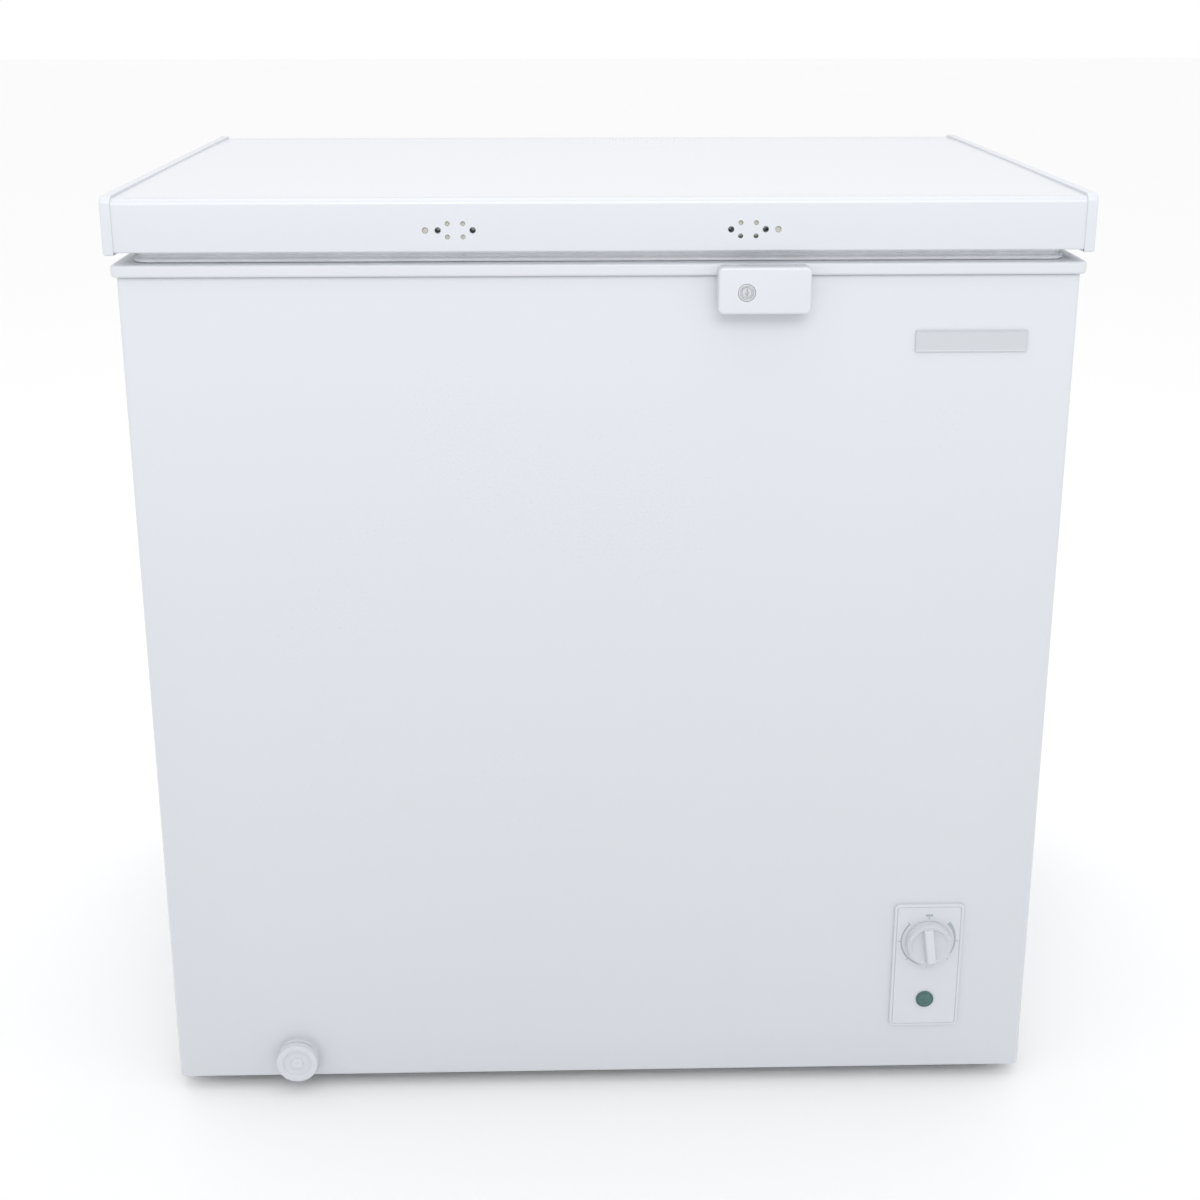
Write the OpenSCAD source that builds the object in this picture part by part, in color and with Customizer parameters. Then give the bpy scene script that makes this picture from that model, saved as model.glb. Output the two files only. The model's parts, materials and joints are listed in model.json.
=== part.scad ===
// Chest freezer with a lift-up lid, a key lock, a front thermostat, a drain and a rear machine bay.
// Frame: +Z up, -Y is the front, +X is the user's right; the origin is on the floor, under the
// middle of the whole freezer. Millimetres.

/* [Cabinet] */
// Width of the steel cabinet
body_w = 803; // [700:1:1100]
// Depth of the steel cabinet
body_d = 515; // [460:1:700]
// Height of the steel cabinet, from its base to under the collar
cabinet_h = 768; // [640:1:900]
// Height of the feet
foot_h = 14; // [8:1:40]
// Thickness of the insulated walls
wall = 52; // [45:1:70]
// Thickness of the insulated tank floor
floor_wall = 56; // [50:1:80]
// Thickness of the painted steel sheet
skin_t = 0.8; // [0.6:0.1:1.2]
// Thickness of the base pan
pan_t = 1.2; // [1:0.1:2]
// Radius of the cabinet's front corners
corner_r = 5; // [3:0.5:12]
// Thickness of the tank liner
liner_t = 1; // [0.8:0.1:2]
// Radius of the tank's upright corners
tank_r = 20; // [12:1:30]

/* [Machine bay] */
// Inside width of the compressor bay
bay_w = 183; // [175:1:230]
// Inside height of the compressor bay
bay_h = 217; // [210:1:260]
// Radius of the compressor's shell
comp_r = 66; // [55:1:70]
// Height of the compressor's shell
comp_h = 160; // [120:1:170]

/* [Collar and lid] */
// Height of the collar round the tank's mouth
collar_h = 10.5; // [8:0.5:20]
// How far the collar stands out from the cabinet
collar_out = 5; // [2:0.5:8]
// Height of the gap that the gasket fills
gasket_gap = 11; // [8:0.5:16]
// Height of the lid's steel skin
lid_h = 45; // [35:1:70]
// How far the lid stands out from the cabinet's sides
lid_side = 6; // [4:0.5:12]
// How far the lid stands out from the cabinet's front
lid_front = 11; // [9:0.5:16]
// Width of the lid's end caps
cap_w = 9; // [6:0.5:14]
// How far the end caps stand proud of the lid's top
cap_proud = 1.5; // [0.5:0.5:3]
// Radius of the lid's long top edges
lid_r = 6; // [3:0.5:10]
// Depth of the lid liner's plug, below the lid's underside
plug_depth = 25; // [15:1:40]

/* [Lock] */
// Distance of the key cylinder from the middle of the front
key_x = 119; // [60:1:200]
// Width of the lock's housing
lock_w = 77; // [70:1:100]
// Height of the lock's housing
lock_h = 39; // [36:1:60]
// How far the lock's housing stands out from the cabinet
lock_out = 21; // [19:0.5:30]

/* [Controls] */
// Width of the control panel
panel_w = 65; // [56:1:90]
// Height of the control panel
panel_h = 129.5; // [110:0.5:160]
// Distance of the control panel's middle from the cabinet's right side
panel_in = 95.2; // [81:0.1:121]
// Height of the control panel's centre above the cabinet's base
panel_up = 111.3; // [85:0.1:125]
// Radius of the thermostat knob
knob_r = 21; // [14:0.5:24]
// How far the knob reaches out from the panel
knob_out = 13; // [8:0.5:14]
// Radius of the thermostat's spindle
spindle_r = 3; // [2.5:0.1:4]
// Radius of the indicator lens
lens_r = 8.3; // [5:0.1:10]

/* [Drain] */
// Distance of the drain's middle from the cabinet's left side
drain_in = 113.5; // [72:0.5:201]
// Height of the drain's centre above the cabinet's base
drain_up = 21; // [19:0.5:26]
// Inside radius of the drain tube
drain_r = 10; // [7:0.5:11]
// Radius of the drain's cap
drain_cap_r = 19.5; // [17:0.5:24]

/* [Basket] */
// Length of the hanging basket
basket_l = 230; // [150:1:300]
// Depth of the hanging basket
basket_h = 200; // [120:1:260]
// Gap between the basket and the right wall of the tank
basket_gap = 14.5; // [8:0.5:40]

/* [Hidden] */
$fn = 48;

// Named clearances
fit = 0.05;          // radial clearance of a turning or sliding fit
seat_gap = 0.2;      // gap between the closed lid and what it rests on
pipe_gap = 0.3;      // room round a pipe that runs in the foam
touch_gap = 0.1;     // gap between a coil and the sheet that it cools or warms
screw_gap = 0.1;     // radial clearance of a screw's hole
plug_gap = 14;       // gap between the lid's plug and the tank's walls

// Depth layout: the lock is the front-most piece and the hinges the rear-most ones
hinge_back = 20;                                   // how far the hinges reach behind the cabinet
front_y = lock_out - (lock_out + body_d + hinge_back) / 2;
back_y = front_y + body_d;
side_x = body_w / 2;
panel_x = side_x - panel_in;
drain_x = side_x - drain_in;
collar_y = front_y - collar_out;
collar_side = 4;                                   // how far the collar stands out at the sides
collar_back = 2;                                   // how far the collar stands out at the back
flange_w = 14;                                     // width of the shell's flanges
lid_y = front_y - lid_front;
lid_back = back_y + 6;
lid_x = side_x + lid_side;
skin_x = lid_x - cap_w;

// Heights
base_z = foot_h;
pan_z = base_z + skin_t;
top_z = base_z + cabinet_h;
collar_z = top_z + collar_h;
lid_z = collar_z + gasket_gap;
lid_top = lid_z + lid_h;
cap_drop = 2;                                      // how far the end caps hang below the skin

// Tank
tank_x = side_x - wall;
tank_y0 = front_y + wall;
tank_y1 = back_y - wall;
tank_z = base_z + floor_wall;
bay_x0 = side_x - skin_t - bay_w;
bay_z0 = pan_z + pan_t;
bay_z1 = bay_z0 + bay_h;
step_x = bay_x0 - wall;
step_z = bay_z1 + floor_wall;

// ---------------------------------------------------------------- shared shapes

// A rectangle with rounded corners, from exact squares and circles
module plate2d(x0, x1, y0, y1, r) {
    translate([x0 + r, y0]) square([x1 - x0 - 2 * r, y1 - y0]);
    translate([x0, y0 + r]) square([x1 - x0, y1 - y0 - 2 * r]);
    for (x = [x0 + r, x1 - r], y = [y0 + r, y1 - r]) translate([x, y]) circle(r);
}

// The cabinet's plan, shrunk by g at the front and sides: round front corners and a square back
module plan(g, back) {
    intersection() {
        plate2d(-side_x + g, side_x - g, front_y + g, back_y + 2 * corner_r, corner_r - g);
        translate([-side_x, front_y]) square([body_w, back - front_y]);
    }
}

// A box given by its lowest and highest corners
module block(lo, hi) {
    translate(lo) cube(hi - lo);
}

// Puts a flat outline upright, so that it faces the front and is extruded from y0 to y1
module upright(y0, y1) {
    translate([0, y1, 0]) rotate([90, 0, 0]) linear_extrude(y1 - y0) children();
}

// Puts an outline that is drawn in (Y, Z) upright and extrudes it from x0 to x1
module sideways(x0, x1) {
    translate([x0, 0, 0]) rotate([90, 0, 90]) linear_extrude(x1 - x0) children();
}

// A cylinder along Y
module rod_y(x, z, y0, y1, r) {
    translate([x, y1, z]) rotate([90, 0, 0]) cylinder(h = y1 - y0, r = r);
}

// A cylinder along X
module rod_x(y, z, x0, x1, r) {
    translate([x0, y, z]) rotate([0, 90, 0]) cylinder(h = x1 - x0, r = r);
}

function unit(v) = v / norm(v);

// A straight round bar between two points that differ along one axis only
module bar(a, b, r) {
    d = unit(b - a);
    translate(a)
        rotate(abs(d[2]) > 0.5 ? [d[2] > 0 ? 0 : 180, 0, 0]
             : abs(d[0]) > 0.5 ? [0, d[0] > 0 ? 90 : -90, 0]
             : [d[1] > 0 ? -90 : 90, 0, 0])
        cylinder(h = norm(b - a), r = r);
}

// A quarter of a ring where a pipe turns at a corner from direction u to direction v
module elbow(corner, u, v, r, bend) {
    c = corner - u * bend + v * bend;
    w = cross(u, v);
    multmatrix([[-v[0], u[0], w[0], c[0]], [-v[1], u[1], w[1], c[1]], [-v[2], u[2], w[2], c[2]],
                [0, 0, 0, 1]])
        rotate_extrude(angle = 90) translate([bend, 0]) circle(r);
}

// A round pipe or wire through points whose legs each follow one axis, with round elbows
module pipe(points, r, bend) {
    last = len(points) - 1;
    for (i = [0:last - 1]) {
        d = unit(points[i + 1] - points[i]);
        bar(points[i] + d * (i == 0 ? 0 : bend), points[i + 1] - d * (i == last - 1 ? 0 : bend), r);
    }
    for (i = [1:last - 1])
        elbow(points[i], unit(points[i] - points[i - 1]), unit(points[i + 1] - points[i]), r, bend);
}

// A closed hoop of wire at one height
module hoop(x0, x1, y0, y1, z, r, bend) {
    for (y = [y0, y1]) bar([x0 + bend, y, z], [x1 - bend, y, z], r);
    for (x = [x0, x1]) bar([x, y0 + bend, z], [x, y1 - bend, z], r);
    elbow([x0, y0, z], [0, -1, 0], [1, 0, 0], r, bend);
    elbow([x1, y0, z], [1, 0, 0], [0, 1, 0], r, bend);
    elbow([x1, y1, z], [0, 1, 0], [-1, 0, 0], r, bend);
    elbow([x0, y1, z], [-1, 0, 0], [0, -1, 0], r, bend);
}

// A pan-head screw along Y whose head's outer face points to +Y or, with back = false, to -Y
module screw_y(x, z, y, length, r, head_r, head_h, back = true) {
    s = back ? 1 : -1;
    difference() {
        union() {
            rod_y(x, z, min(y, y + s * head_h), max(y, y + s * head_h), head_r);
            rod_y(x, z, min(y, y - s * length), max(y, y - s * length), r);
        }
        for (a = [0, 90])
            translate([x, y + s * head_h, z]) rotate([0, a, 0])
                cube([head_r * 1.2, head_h, head_r * 0.28], center = true);
    }
}

// The hollow of the tank, grown by g all round, up to z_top
module tank_space(g, z_top) {
    translate([0, 0, step_z - g]) linear_extrude(z_top - step_z + g)
        plate2d(-tank_x - g, tank_x + g, tank_y0 - g, tank_y1 + g, tank_r + g);
    translate([0, 0, tank_z - g]) linear_extrude(step_z - tank_z + g)
        plate2d(-tank_x - g, step_x + g, tank_y0 - g, tank_y1 + g, tank_r + g);
}

// The compressor bay's hollow, grown by g at its left and top
module bay_space(g) {
    block([bay_x0 - g, front_y - 1, base_z - 1], [side_x + 1, back_y + 1, bay_z1 + g]);
}

// ---------------------------------------------------------------- control and drain places

panel_z = base_z + panel_up;
knob_up = 26.7;                  // height of the knob's axis above the panel's centre
lens_down = 35.3;                // height of the lens's axis below the panel's centre
panel_t = 3;                     // thickness of the panel's front plate
panel_border = 6;                // how far the front plate overlaps its opening
panel_box = 8;                   // depth of the panel's rim inside the opening
knob_z = panel_z + knob_up;
lens_z = panel_z - lens_down;
panel_y = front_y - panel_t;
drain_z = base_z + drain_up;
drain_tube_t = 2.5;              // wall of the drain tube
drain_in_y = tank_y0 + 34;       // where the drain leaves the tank's floor
drain_bend = 16;
drain_hole_r = drain_r + drain_tube_t;
drain_path = [[-drain_x, drain_in_y, tank_z - liner_t], [-drain_x, drain_in_y, drain_z],
              [-drain_x, front_y + skin_t, drain_z]];

module panel_opening(g) {
    upright(front_y - 1, front_y + 2)
        plate2d(panel_x - panel_w / 2 + panel_border - g, panel_x + panel_w / 2 - panel_border + g,
                panel_z - panel_h / 2 + panel_border - g, panel_z + panel_h / 2 - panel_border + g, 3);
}

// ---------------------------------------------------------------- coils and pipes

evap_r = 4;                                       // radius of the evaporator's tube
evap_pitch = 80;
evap_bend = tank_r + liner_t + evap_r + touch_gap;
evap_off = liner_t + evap_r + touch_gap;
evap_z = tank_z + 34;
evap_rings = floor((top_z - 30 - evap_z) / evap_pitch) + 1;
evap_rise = step_x - 65;                          // where each ring climbs to the next
evap_in = [bay_x0 + 5, tank_y1 - 56, evap_z];     // where the capillary meets the coil
evap_tail_y = tank_y1 + evap_off + 26;
evap_out_x = bay_x0 + 83;
tail_bend = 12;

function ring_z(i) = evap_z + i * evap_pitch;
function ring_x(z) = z < step_z + 5 ? step_x + evap_off : tank_x + evap_off;
evap_y0 = tank_y0 - evap_off;
evap_y1 = tank_y1 + evap_off;
evap_top = ring_z(evap_rings - 1);

evap_path = concat(
    [evap_in, [ring_x(evap_z), evap_in[1], evap_z]],
    [for (i = [0:evap_rings - 1]) for (p = concat(
        i == 0 ? [] : [[evap_rise, evap_y1, ring_z(i)], [ring_x(ring_z(i)), evap_y1, ring_z(i)]],
        [[ring_x(ring_z(i)), evap_y0, ring_z(i)], [-tank_x - evap_off, evap_y0, ring_z(i)],
         [-tank_x - evap_off, evap_y1, ring_z(i)]],
        i == evap_rings - 1 ? [] : [[evap_rise, evap_y1, ring_z(i)]])) p],
    [[evap_rise - 60, evap_y1, evap_top]]);
evap_tail = [[evap_rise - 60, evap_y1, evap_top], [evap_rise - 40, evap_y1, evap_top],
             [evap_rise - 40, evap_tail_y, evap_top],
             [evap_rise - 40, evap_tail_y, bay_z1 + 29],
             [evap_out_x, evap_tail_y, bay_z1 + 29], [evap_out_x, evap_tail_y, bay_z1 - 33]];

cond_r = 3;                                       // radius of the condenser's tube
cond_pitch = 60;
cond_bend = 15;
cond_y = front_y + skin_t + cond_r + touch_gap;
cond_z = bay_z1 + 27;
cond_rows = 2 * floor((top_z - 50 - cond_z) / (2 * cond_pitch));
cond_in_x = bay_x0 + 113;                         // where the compressed gas enters
cond_out_x = side_x - skin_t - 15;                // where the liquid leaves
cond_x0 = -side_x + 31;
cond_x1 = side_x - 41;
cond_end_z = bay_z1 - 18;
cond_ends_y = cond_y + 28;

// Each row runs to the left or back to the right, and climbs to the next row at its end
function row_z(i) = cond_z + i * cond_pitch;
function row_end(i) = i % 2 == 0 ? cond_x0 : i == cond_rows - 1 ? cond_out_x : cond_x1;
cond_path = concat(
    [[cond_in_x, cond_ends_y, cond_end_z], [cond_in_x, cond_y, cond_end_z],
     [cond_in_x, cond_y, cond_z]],
    [for (i = [0:cond_rows - 1]) for (p = concat(
        [[row_end(i), cond_y, row_z(i)]],
        i == cond_rows - 1 ? [] : [[row_end(i), cond_y, row_z(i + 1)]])) p],
    [[cond_out_x, cond_y, cond_end_z], [cond_out_x, cond_ends_y, cond_end_z]]);

// ---------------------------------------------------------------- compressor and its plumbing

comp_x = bay_x0 + bay_w / 2;
comp_y = back_y - 158;
plate_t = 3;
grommet_h = 12;
plate_z = bay_z0 + grommet_h;
plate_w = 2 * comp_r + 24;
plate_l = 2 * comp_r + 4;
bolt_dx = plate_w / 2 - 12;
bolt_dy = plate_l / 2 - 14;
comp_z = plate_z + plate_t;
comp_seam_z = comp_z + comp_h * 0.55;
stub_y = comp_y - comp_r - 8;                     // front end of the discharge stub
stub_z = comp_z + comp_h * 0.5;
stub_x = cond_in_x;
suction_x = evap_out_x;
suction_y = comp_y + comp_r + 8;                  // rear end of the suction stub
suction_z = comp_z + comp_h * 0.55;
drier_r = 9;
drier_l = 105;
drier_y0 = cond_ends_y;
relay_x0 = comp_x + comp_r - 5;
relay_x1 = side_x - skin_t - 6;
relay_y = comp_y;
relay_w = 42;
relay_z0 = comp_z + 46;
relay_z1 = relay_z0 + 50;
cap_tube_r = 1.2;
lead_r = 2.5;                                     // radius of the inner wiring
gland_z = bay_z0 + 44;
gland_x = comp_x + 41;
gland_hole_r = 8;
cord_r = 4;
thermo_y0 = front_y + 7;
thermo_y1 = thermo_y0 + 28;

bulb_r = 3;
bulb_y = thermo_y1 + 30;
bulb_z = evap_z + evap_pitch / 2;
bulb_x0 = step_x + liner_t + 1;
bulb_x1 = bay_x0 + 6;
feeler_x = panel_x - 12;
feeler_z = knob_z + 6;
feeler_r = 1;

// ---------------------------------------------------------------- feet

foot_r = 20;
foot_in = 45;                                     // distance of each foot from the cabinet's edges
feet_at = [for (x = [-side_x + foot_in, side_x - foot_in], y = [front_y + foot_in, back_y - foot_in]) [x, y]];

// ---------------------------------------------------------------- rear cover and side vent

cover_lap = 10;                                   // how far the cover laps over its opening
cover_x0 = bay_x0 - cover_lap;
cover_x1 = side_x - 2;
cover_z0 = base_z + 2;
cover_z1 = bay_z1 + cover_lap;
cover_y = back_y;
cover_screw_r = 2;
cover_screws_at = [for (x = [cover_x0 + cover_lap / 2, cover_x1 - 8], z = [cover_z0 + 14, cover_z1 - 5]) [x, z]];
vent_y0 = comp_y - 70;
vent_y1 = comp_y + 70;
vent_z0 = base_z + 46;
vent_z1 = base_z + 156;
vent_lip = 8;

// ---------------------------------------------------------------- hinges

pivot_y = back_y + 13.5;
pivot_z = lid_z - 6.5;
pin_r = 3;
ear_r = hinge_back - 13.5;
knuckle_r = 6;
hinge_x = lid_x - 130;                            // middle of each hinge
hinge_w = 64;
ear_t = 2.5;
base_plate_t = 1.6;
base_low = 92;                                    // how far the base reaches below the pivot
arm_t = 1.6;
arm_z0 = lid_z + 3;
arm_z1 = lid_top - 8;
spring_wire = 1;
spring_r = 5;
spring_turns = 7;
knuckle_w = 14;                                   // width of each of the arm's two knuckles
hinge_screw_r = 2;
base_screws_at = [for (x = [-22, 22], z = [18, 66]) [x, pivot_z - 14 - z]];
arm_screws_at = [for (x = [-20, 20], z = [11, 27]) [x, arm_z0 + z]];

// ---------------------------------------------------------------- lock and strike

key_z = top_z - 11.5;
lock_x0 = key_x - 23.5;
lock_x1 = lock_x0 + lock_w;
lock_z1 = collar_z - 1.2;
lock_z0 = lock_z1 - lock_h;
lock_y = front_y - lock_out;
lock_wall = 2.5;
cyl_r = 7.4;
arm_y1 = collar_y - 2.2;
arm_y0 = arm_y1 - 2;
arm_w = 9;
hook_angle = 18;
slot_gap = 1;
strike_t = 1.6;
strike_z = lid_z + skin_t;
strike_y1 = lid_y + 16;
hook_in = (strike_z + strike_t + 0.74 - key_z) / cos(hook_angle);  // the turned hook just clears the strike
arm_len = hook_in + 6;
arm_slot_x0 = key_x - arm_w / 2 - slot_gap;
arm_slot_y0 = arm_y0 - 1;
arm_slot_y1 = arm_y1 + 1.3;
arm_turned_x0 = key_x - arm_len * sin(hook_angle);                  // left end of the turned hook

// How far right the arm reaches as it passes a height above its axis
function arm_reach(h) = sqrt(pow(arm_len + 0.3, 2) - pow(h, 2));

badge_x = side_x - 89.1;
badge_z = top_z - 56.8;
badge_w = 95;
badge_h = 18.5;
badge_t = 1;

// ---------------------------------------------------------------- lid

gasket_in = 17;                                   // how far the gasket sits inside the lid's edge
gasket_w = 22;
gasket_x = lid_x - gasket_in;
gasket_y0 = lid_y + gasket_in;
gasket_y1 = lid_back - gasket_in;
gasket_r = 14;
liner_z = lid_z + skin_t;
lid_liner_t = 1.2;
plug_z = lid_z - plug_depth;
plug_x = tank_x - plug_gap;
plug_y0 = tank_y0 + plug_gap;
plug_y1 = tank_y1 - plug_gap;
tongue = 10;                                      // how far the end caps reach inside the skin
tongue_t = 2;
tongue_z = liner_z + lid_liner_t + touch_gap;
handle_x = 120.05;                                // middle of each group of handle holes
handle_z = lid_z + 17.9;
insert_gap = 28.5;                                // distance between the two threaded inserts
insert_r = 2.7;
thread_r = 2;
rivet_dx = 12.7;
rivet_dz = 10.8;
rivet_r = 2.1;
outer_hole = 24.55;                               // distance of the single hole from the group's middle
insert_l = 12;

// ---------------------------------------------------------------- basket

rim_r = 2.5;
wire_r = 1.6;
weld = 0.7;                                       // how deep crossing wires melt into each other
basket_x1 = tank_x - basket_gap;
basket_x0 = basket_x1 - basket_l;
basket_z1 = plug_z - 9;
basket_z0 = basket_z1 - basket_h;
basket_y0 = tank_y0 + 6.5;
basket_y1 = tank_y1 - 6.5;
hook_r = 2;
hook_over = 12;
hook_z = collar_z + hook_r + seat_gap;
cross_wires = 8;
long_wires = 6;

// ---------------------------------------------------------------- cabinet

// The steel wrapper: left side, front and right side in one bent sheet, flanged top and bottom
module outer_shell() {
    color([0.93, 0.94, 0.96]) difference() {
        union() {
            difference() {
                translate([0, 0, base_z]) linear_extrude(cabinet_h) plan(0, back_y);
                translate([0, 0, base_z - 1]) linear_extrude(cabinet_h + 2) plan(skin_t, back_y + 1);
            }
            for (z = [base_z, top_z - skin_t]) translate([0, 0, z]) linear_extrude(skin_t) difference() {
                plan(0, back_y);
                translate([-side_x + flange_w, front_y + flange_w])
                    square([body_w - 2 * flange_w, body_d]);
            }
        }
        panel_opening(0);
        rod_y(-drain_x, drain_z, front_y - 1, front_y + 2, drain_hole_r);
        block([side_x - 2, vent_y0, vent_z0], [side_x + 1, vent_y1, vent_z1]);
    }
}

// Flat rear sheet, cut away at the machine bay
module back_panel() {
    color([0.86, 0.87, 0.88]) difference() {
        block([-side_x + skin_t, back_y - skin_t, pan_z], [side_x - skin_t, back_y, top_z - skin_t]);
        block([bay_x0, back_y - 2, base_z], [side_x, back_y + 1, bay_z1]);
        for (s = [-1, 1], p = base_screws_at)
            rod_y(s * hinge_x + p[0], p[1], back_y - 2, back_y + 1, hinge_screw_r + screw_gap);
        for (p = cover_screws_at)
            rod_y(p[0], p[1], back_y - 2, back_y + 1, cover_screw_r + screw_gap);
    }
}

// Base pan that carries the compressor and the feet
module base_pan() {
    color([0.6, 0.62, 0.64]) difference() {
        translate([0, 0, pan_z]) linear_extrude(pan_t) plan(skin_t, back_y - skin_t);
        for (x = [-1, 1], y = [-1, 1])
            translate([comp_x + x * bolt_dx, comp_y + y * bolt_dy, pan_z - 1])
                cylinder(h = pan_t + 2, r = 3 + screw_gap);
        for (p = feet_at) translate([p[0], p[1], pan_z - 1]) cylinder(h = pan_t + 2, r = 2.5 + screw_gap);
    }
}

// Tank liner with the step over the machine bay
module inner_liner() {
    color([0.95, 0.96, 0.97]) difference() {
        tank_space(liner_t, top_z);
        tank_space(0, top_z + 1);
        translate([-drain_x, drain_in_y, tank_z - 2 * liner_t]) cylinder(h = 3 * liner_t, r = drain_r);
    }
}

// Foamed-in insulation between the shell and the liner
module cabinet_foam() {
    color([0.93, 0.87, 0.62]) difference() {
        translate([0, 0, bay_z0]) linear_extrude(top_z - skin_t - bay_z0) plan(skin_t, back_y - skin_t);
        tank_space(liner_t, top_z + 1);
        bay_space(skin_t);
        pipe(evap_path, evap_r + pipe_gap, evap_bend);
        pipe(evap_tail, evap_r + pipe_gap, tail_bend);
        pipe(cond_path, cond_r + pipe_gap, cond_bend);
        pipe(drain_path, drain_hole_r, drain_bend);
        rod_x(bulb_y, bulb_z, bulb_x0, bulb_x1, bulb_r + pipe_gap);
        for (s = [-1, 1], p = base_screws_at)
            rod_y(s * hinge_x + p[0], p[1], back_y - 30, back_y, hinge_screw_r + screw_gap);
        for (p = cover_screws_at)
            rod_y(p[0], p[1], back_y - 12, back_y, cover_screw_r + screw_gap);
        for (p = feet_at) translate([p[0], p[1], bay_z0 - 1]) cylinder(h = 16, r = 2.5 + screw_gap);
    }
}

// Tube that cools the tank, in rings round the outside of the liner
module evaporator_coil() {
    color([0.75, 0.45, 0.3]) {
        pipe(evap_path, evap_r, evap_bend);
        pipe(evap_tail, evap_r, tail_bend);
    }
}

// Tube that sheds heat through the front sheet
module condenser_coil() {
    color([0.72, 0.43, 0.28]) pipe(cond_path, cond_r, cond_bend);
}

// Plastic frame that closes the top of the wall round the tank's mouth
module top_collar() {
    step = 1.5;
    color([0.9, 0.92, 0.95]) difference() {
        union() {
            for (l = [[0, step], [step, 0], [collar_h - step, step]])
                translate([0, 0, top_z + l[0]])
                    linear_extrude(l[0] == step ? collar_h - 2 * step : step)
                        plate2d(-side_x - collar_side + l[1], side_x + collar_side - l[1],
                                collar_y + l[1], back_y + collar_back - l[1], 7 - l[1]);
        }
        translate([0, 0, top_z - 1]) linear_extrude(collar_h + 2)
            plate2d(-tank_x, tank_x, tank_y0, tank_y1, tank_r);
    }
}

// Sheet that divides the machine bay from the foam
module bay_partition() {
    color([0.7, 0.71, 0.73]) difference() {
        intersection() {
            block([bay_x0 - skin_t, front_y, bay_z0], [side_x, back_y, bay_z1 + skin_t]);
            translate([0, 0, bay_z0]) linear_extrude(bay_h + 1) plan(skin_t, back_y - skin_t);
        }
        block([bay_x0, front_y, bay_z0 - 1], [side_x, back_y, bay_z1]);
        bar(evap_path[0], evap_path[1], evap_r + pipe_gap);
        for (x = [[cond_in_x, cond_y, cond_r], [cond_out_x, cond_y, cond_r], [evap_out_x, evap_tail_y, evap_r]])
            translate([x[0], x[1], bay_z1 - 1]) cylinder(h = 4, r = x[2] + pipe_gap);
        rod_x(bulb_y, bulb_z, bay_x0 - 2, bay_x0 + 1, bulb_r + pipe_gap);
        for (p = cover_screws_at) if (p[0] < bay_x0)
            rod_y(p[0], p[1], back_y - 12, back_y, cover_screw_r + screw_gap);
    }
}

// ---------------------------------------------------------------- machine bay

// Welded steel shell of the compressor, with its stub tubes
module compressor_shell() {
    dome = 34;
    color([0.12, 0.12, 0.13]) {
        translate([comp_x, comp_y, comp_z]) rotate_extrude() intersection() {
            plate2d(-comp_r, comp_r, 0, comp_h, dome);
            square([comp_r, comp_h]);
        }
        translate([comp_x, comp_y, comp_seam_z]) cylinder(h = 5, r = comp_r + 2.5);
        rod_y(stub_x, stub_z, stub_y, comp_y - comp_r * 0.6, cond_r + 1);
        rod_y(suction_x, suction_z, comp_y + comp_r * 0.6, suction_y, evap_r + 1);
        rod_y(comp_x - 24, stub_z, stub_y - 22, comp_y - comp_r * 0.6, cond_r + 1);
    }
}

// Mounting plate under the compressor
module compressor_plate() {
    color([0.15, 0.15, 0.16]) difference() {
        translate([0, 0, plate_z]) linear_extrude(plate_t)
            plate2d(comp_x - plate_w / 2, comp_x + plate_w / 2, comp_y - plate_l / 2, comp_y + plate_l / 2, 10);
        for (x = [-1, 1], y = [-1, 1])
            translate([comp_x + x * bolt_dx, comp_y + y * bolt_dy, plate_z - 1])
                cylinder(h = plate_t + 2, r = 7);
    }
}

// Four rubber grommets between the plate and the base pan
module compressor_grommets() {
    color([0.1, 0.1, 0.1]) for (x = [-1, 1], y = [-1, 1])
        translate([comp_x + x * bolt_dx, comp_y + y * bolt_dy, bay_z0]) difference() {
            union() {
                cylinder(h = grommet_h, r = 10);
                translate([0, 0, grommet_h]) cylinder(h = plate_t, r = 7);
                translate([0, 0, grommet_h + plate_t]) cylinder(h = 4, r = 9.5);
            }
            translate([0, 0, -1]) cylinder(h = grommet_h + plate_t + 6, r = 3 + screw_gap);
        }
}

// Four bolts with washers that hold the compressor down
module compressor_bolts() {
    head_z = bay_z0 + grommet_h + plate_t + 4;
    color([0.75, 0.75, 0.77]) for (x = [-1, 1], y = [-1, 1])
        translate([comp_x + x * bolt_dx, comp_y + y * bolt_dy, 0]) {
            translate([0, 0, pan_z]) cylinder(h = head_z - pan_z + 1, r = 3);
            translate([0, 0, head_z]) cylinder(h = 1.2, r = 9);
            translate([0, 0, head_z + 1.2]) cylinder(h = 5, r = 5.5, $fn = 6);
        }
}

// Plastic cover over the compressor's relay and overload
module relay_cover() {
    color([0.16, 0.16, 0.17]) difference() {
        block([relay_x0, relay_y - relay_w / 2, relay_z0], [relay_x1, relay_y + relay_w / 2, relay_z1]);
        translate([comp_x, comp_y, comp_z]) cylinder(h = comp_h, r = comp_r);
        translate([comp_x, comp_y, comp_seam_z - 1]) cylinder(h = 7, r = comp_r + 2.5);
    }
}

// Copper filter-drier at the condenser's outlet
module filter_drier() {
    color([0.76, 0.46, 0.3]) {
        rod_y(cond_out_x, cond_end_z, drier_y0 + 12, drier_y0 + drier_l - 12, drier_r);
        rod_y(cond_out_x, cond_end_z, drier_y0, drier_y0 + drier_l, cond_r + 0.5);
    }
}

// Pipe from the compressor to the condenser
module discharge_pipe() {
    color([0.76, 0.46, 0.3])
        pipe([[cond_in_x, cond_ends_y, cond_end_z], [cond_in_x, stub_y - 32, cond_end_z],
              [cond_in_x, stub_y - 32, stub_z], [cond_in_x, stub_y, stub_z]], cond_r, tail_bend);
}

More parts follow.
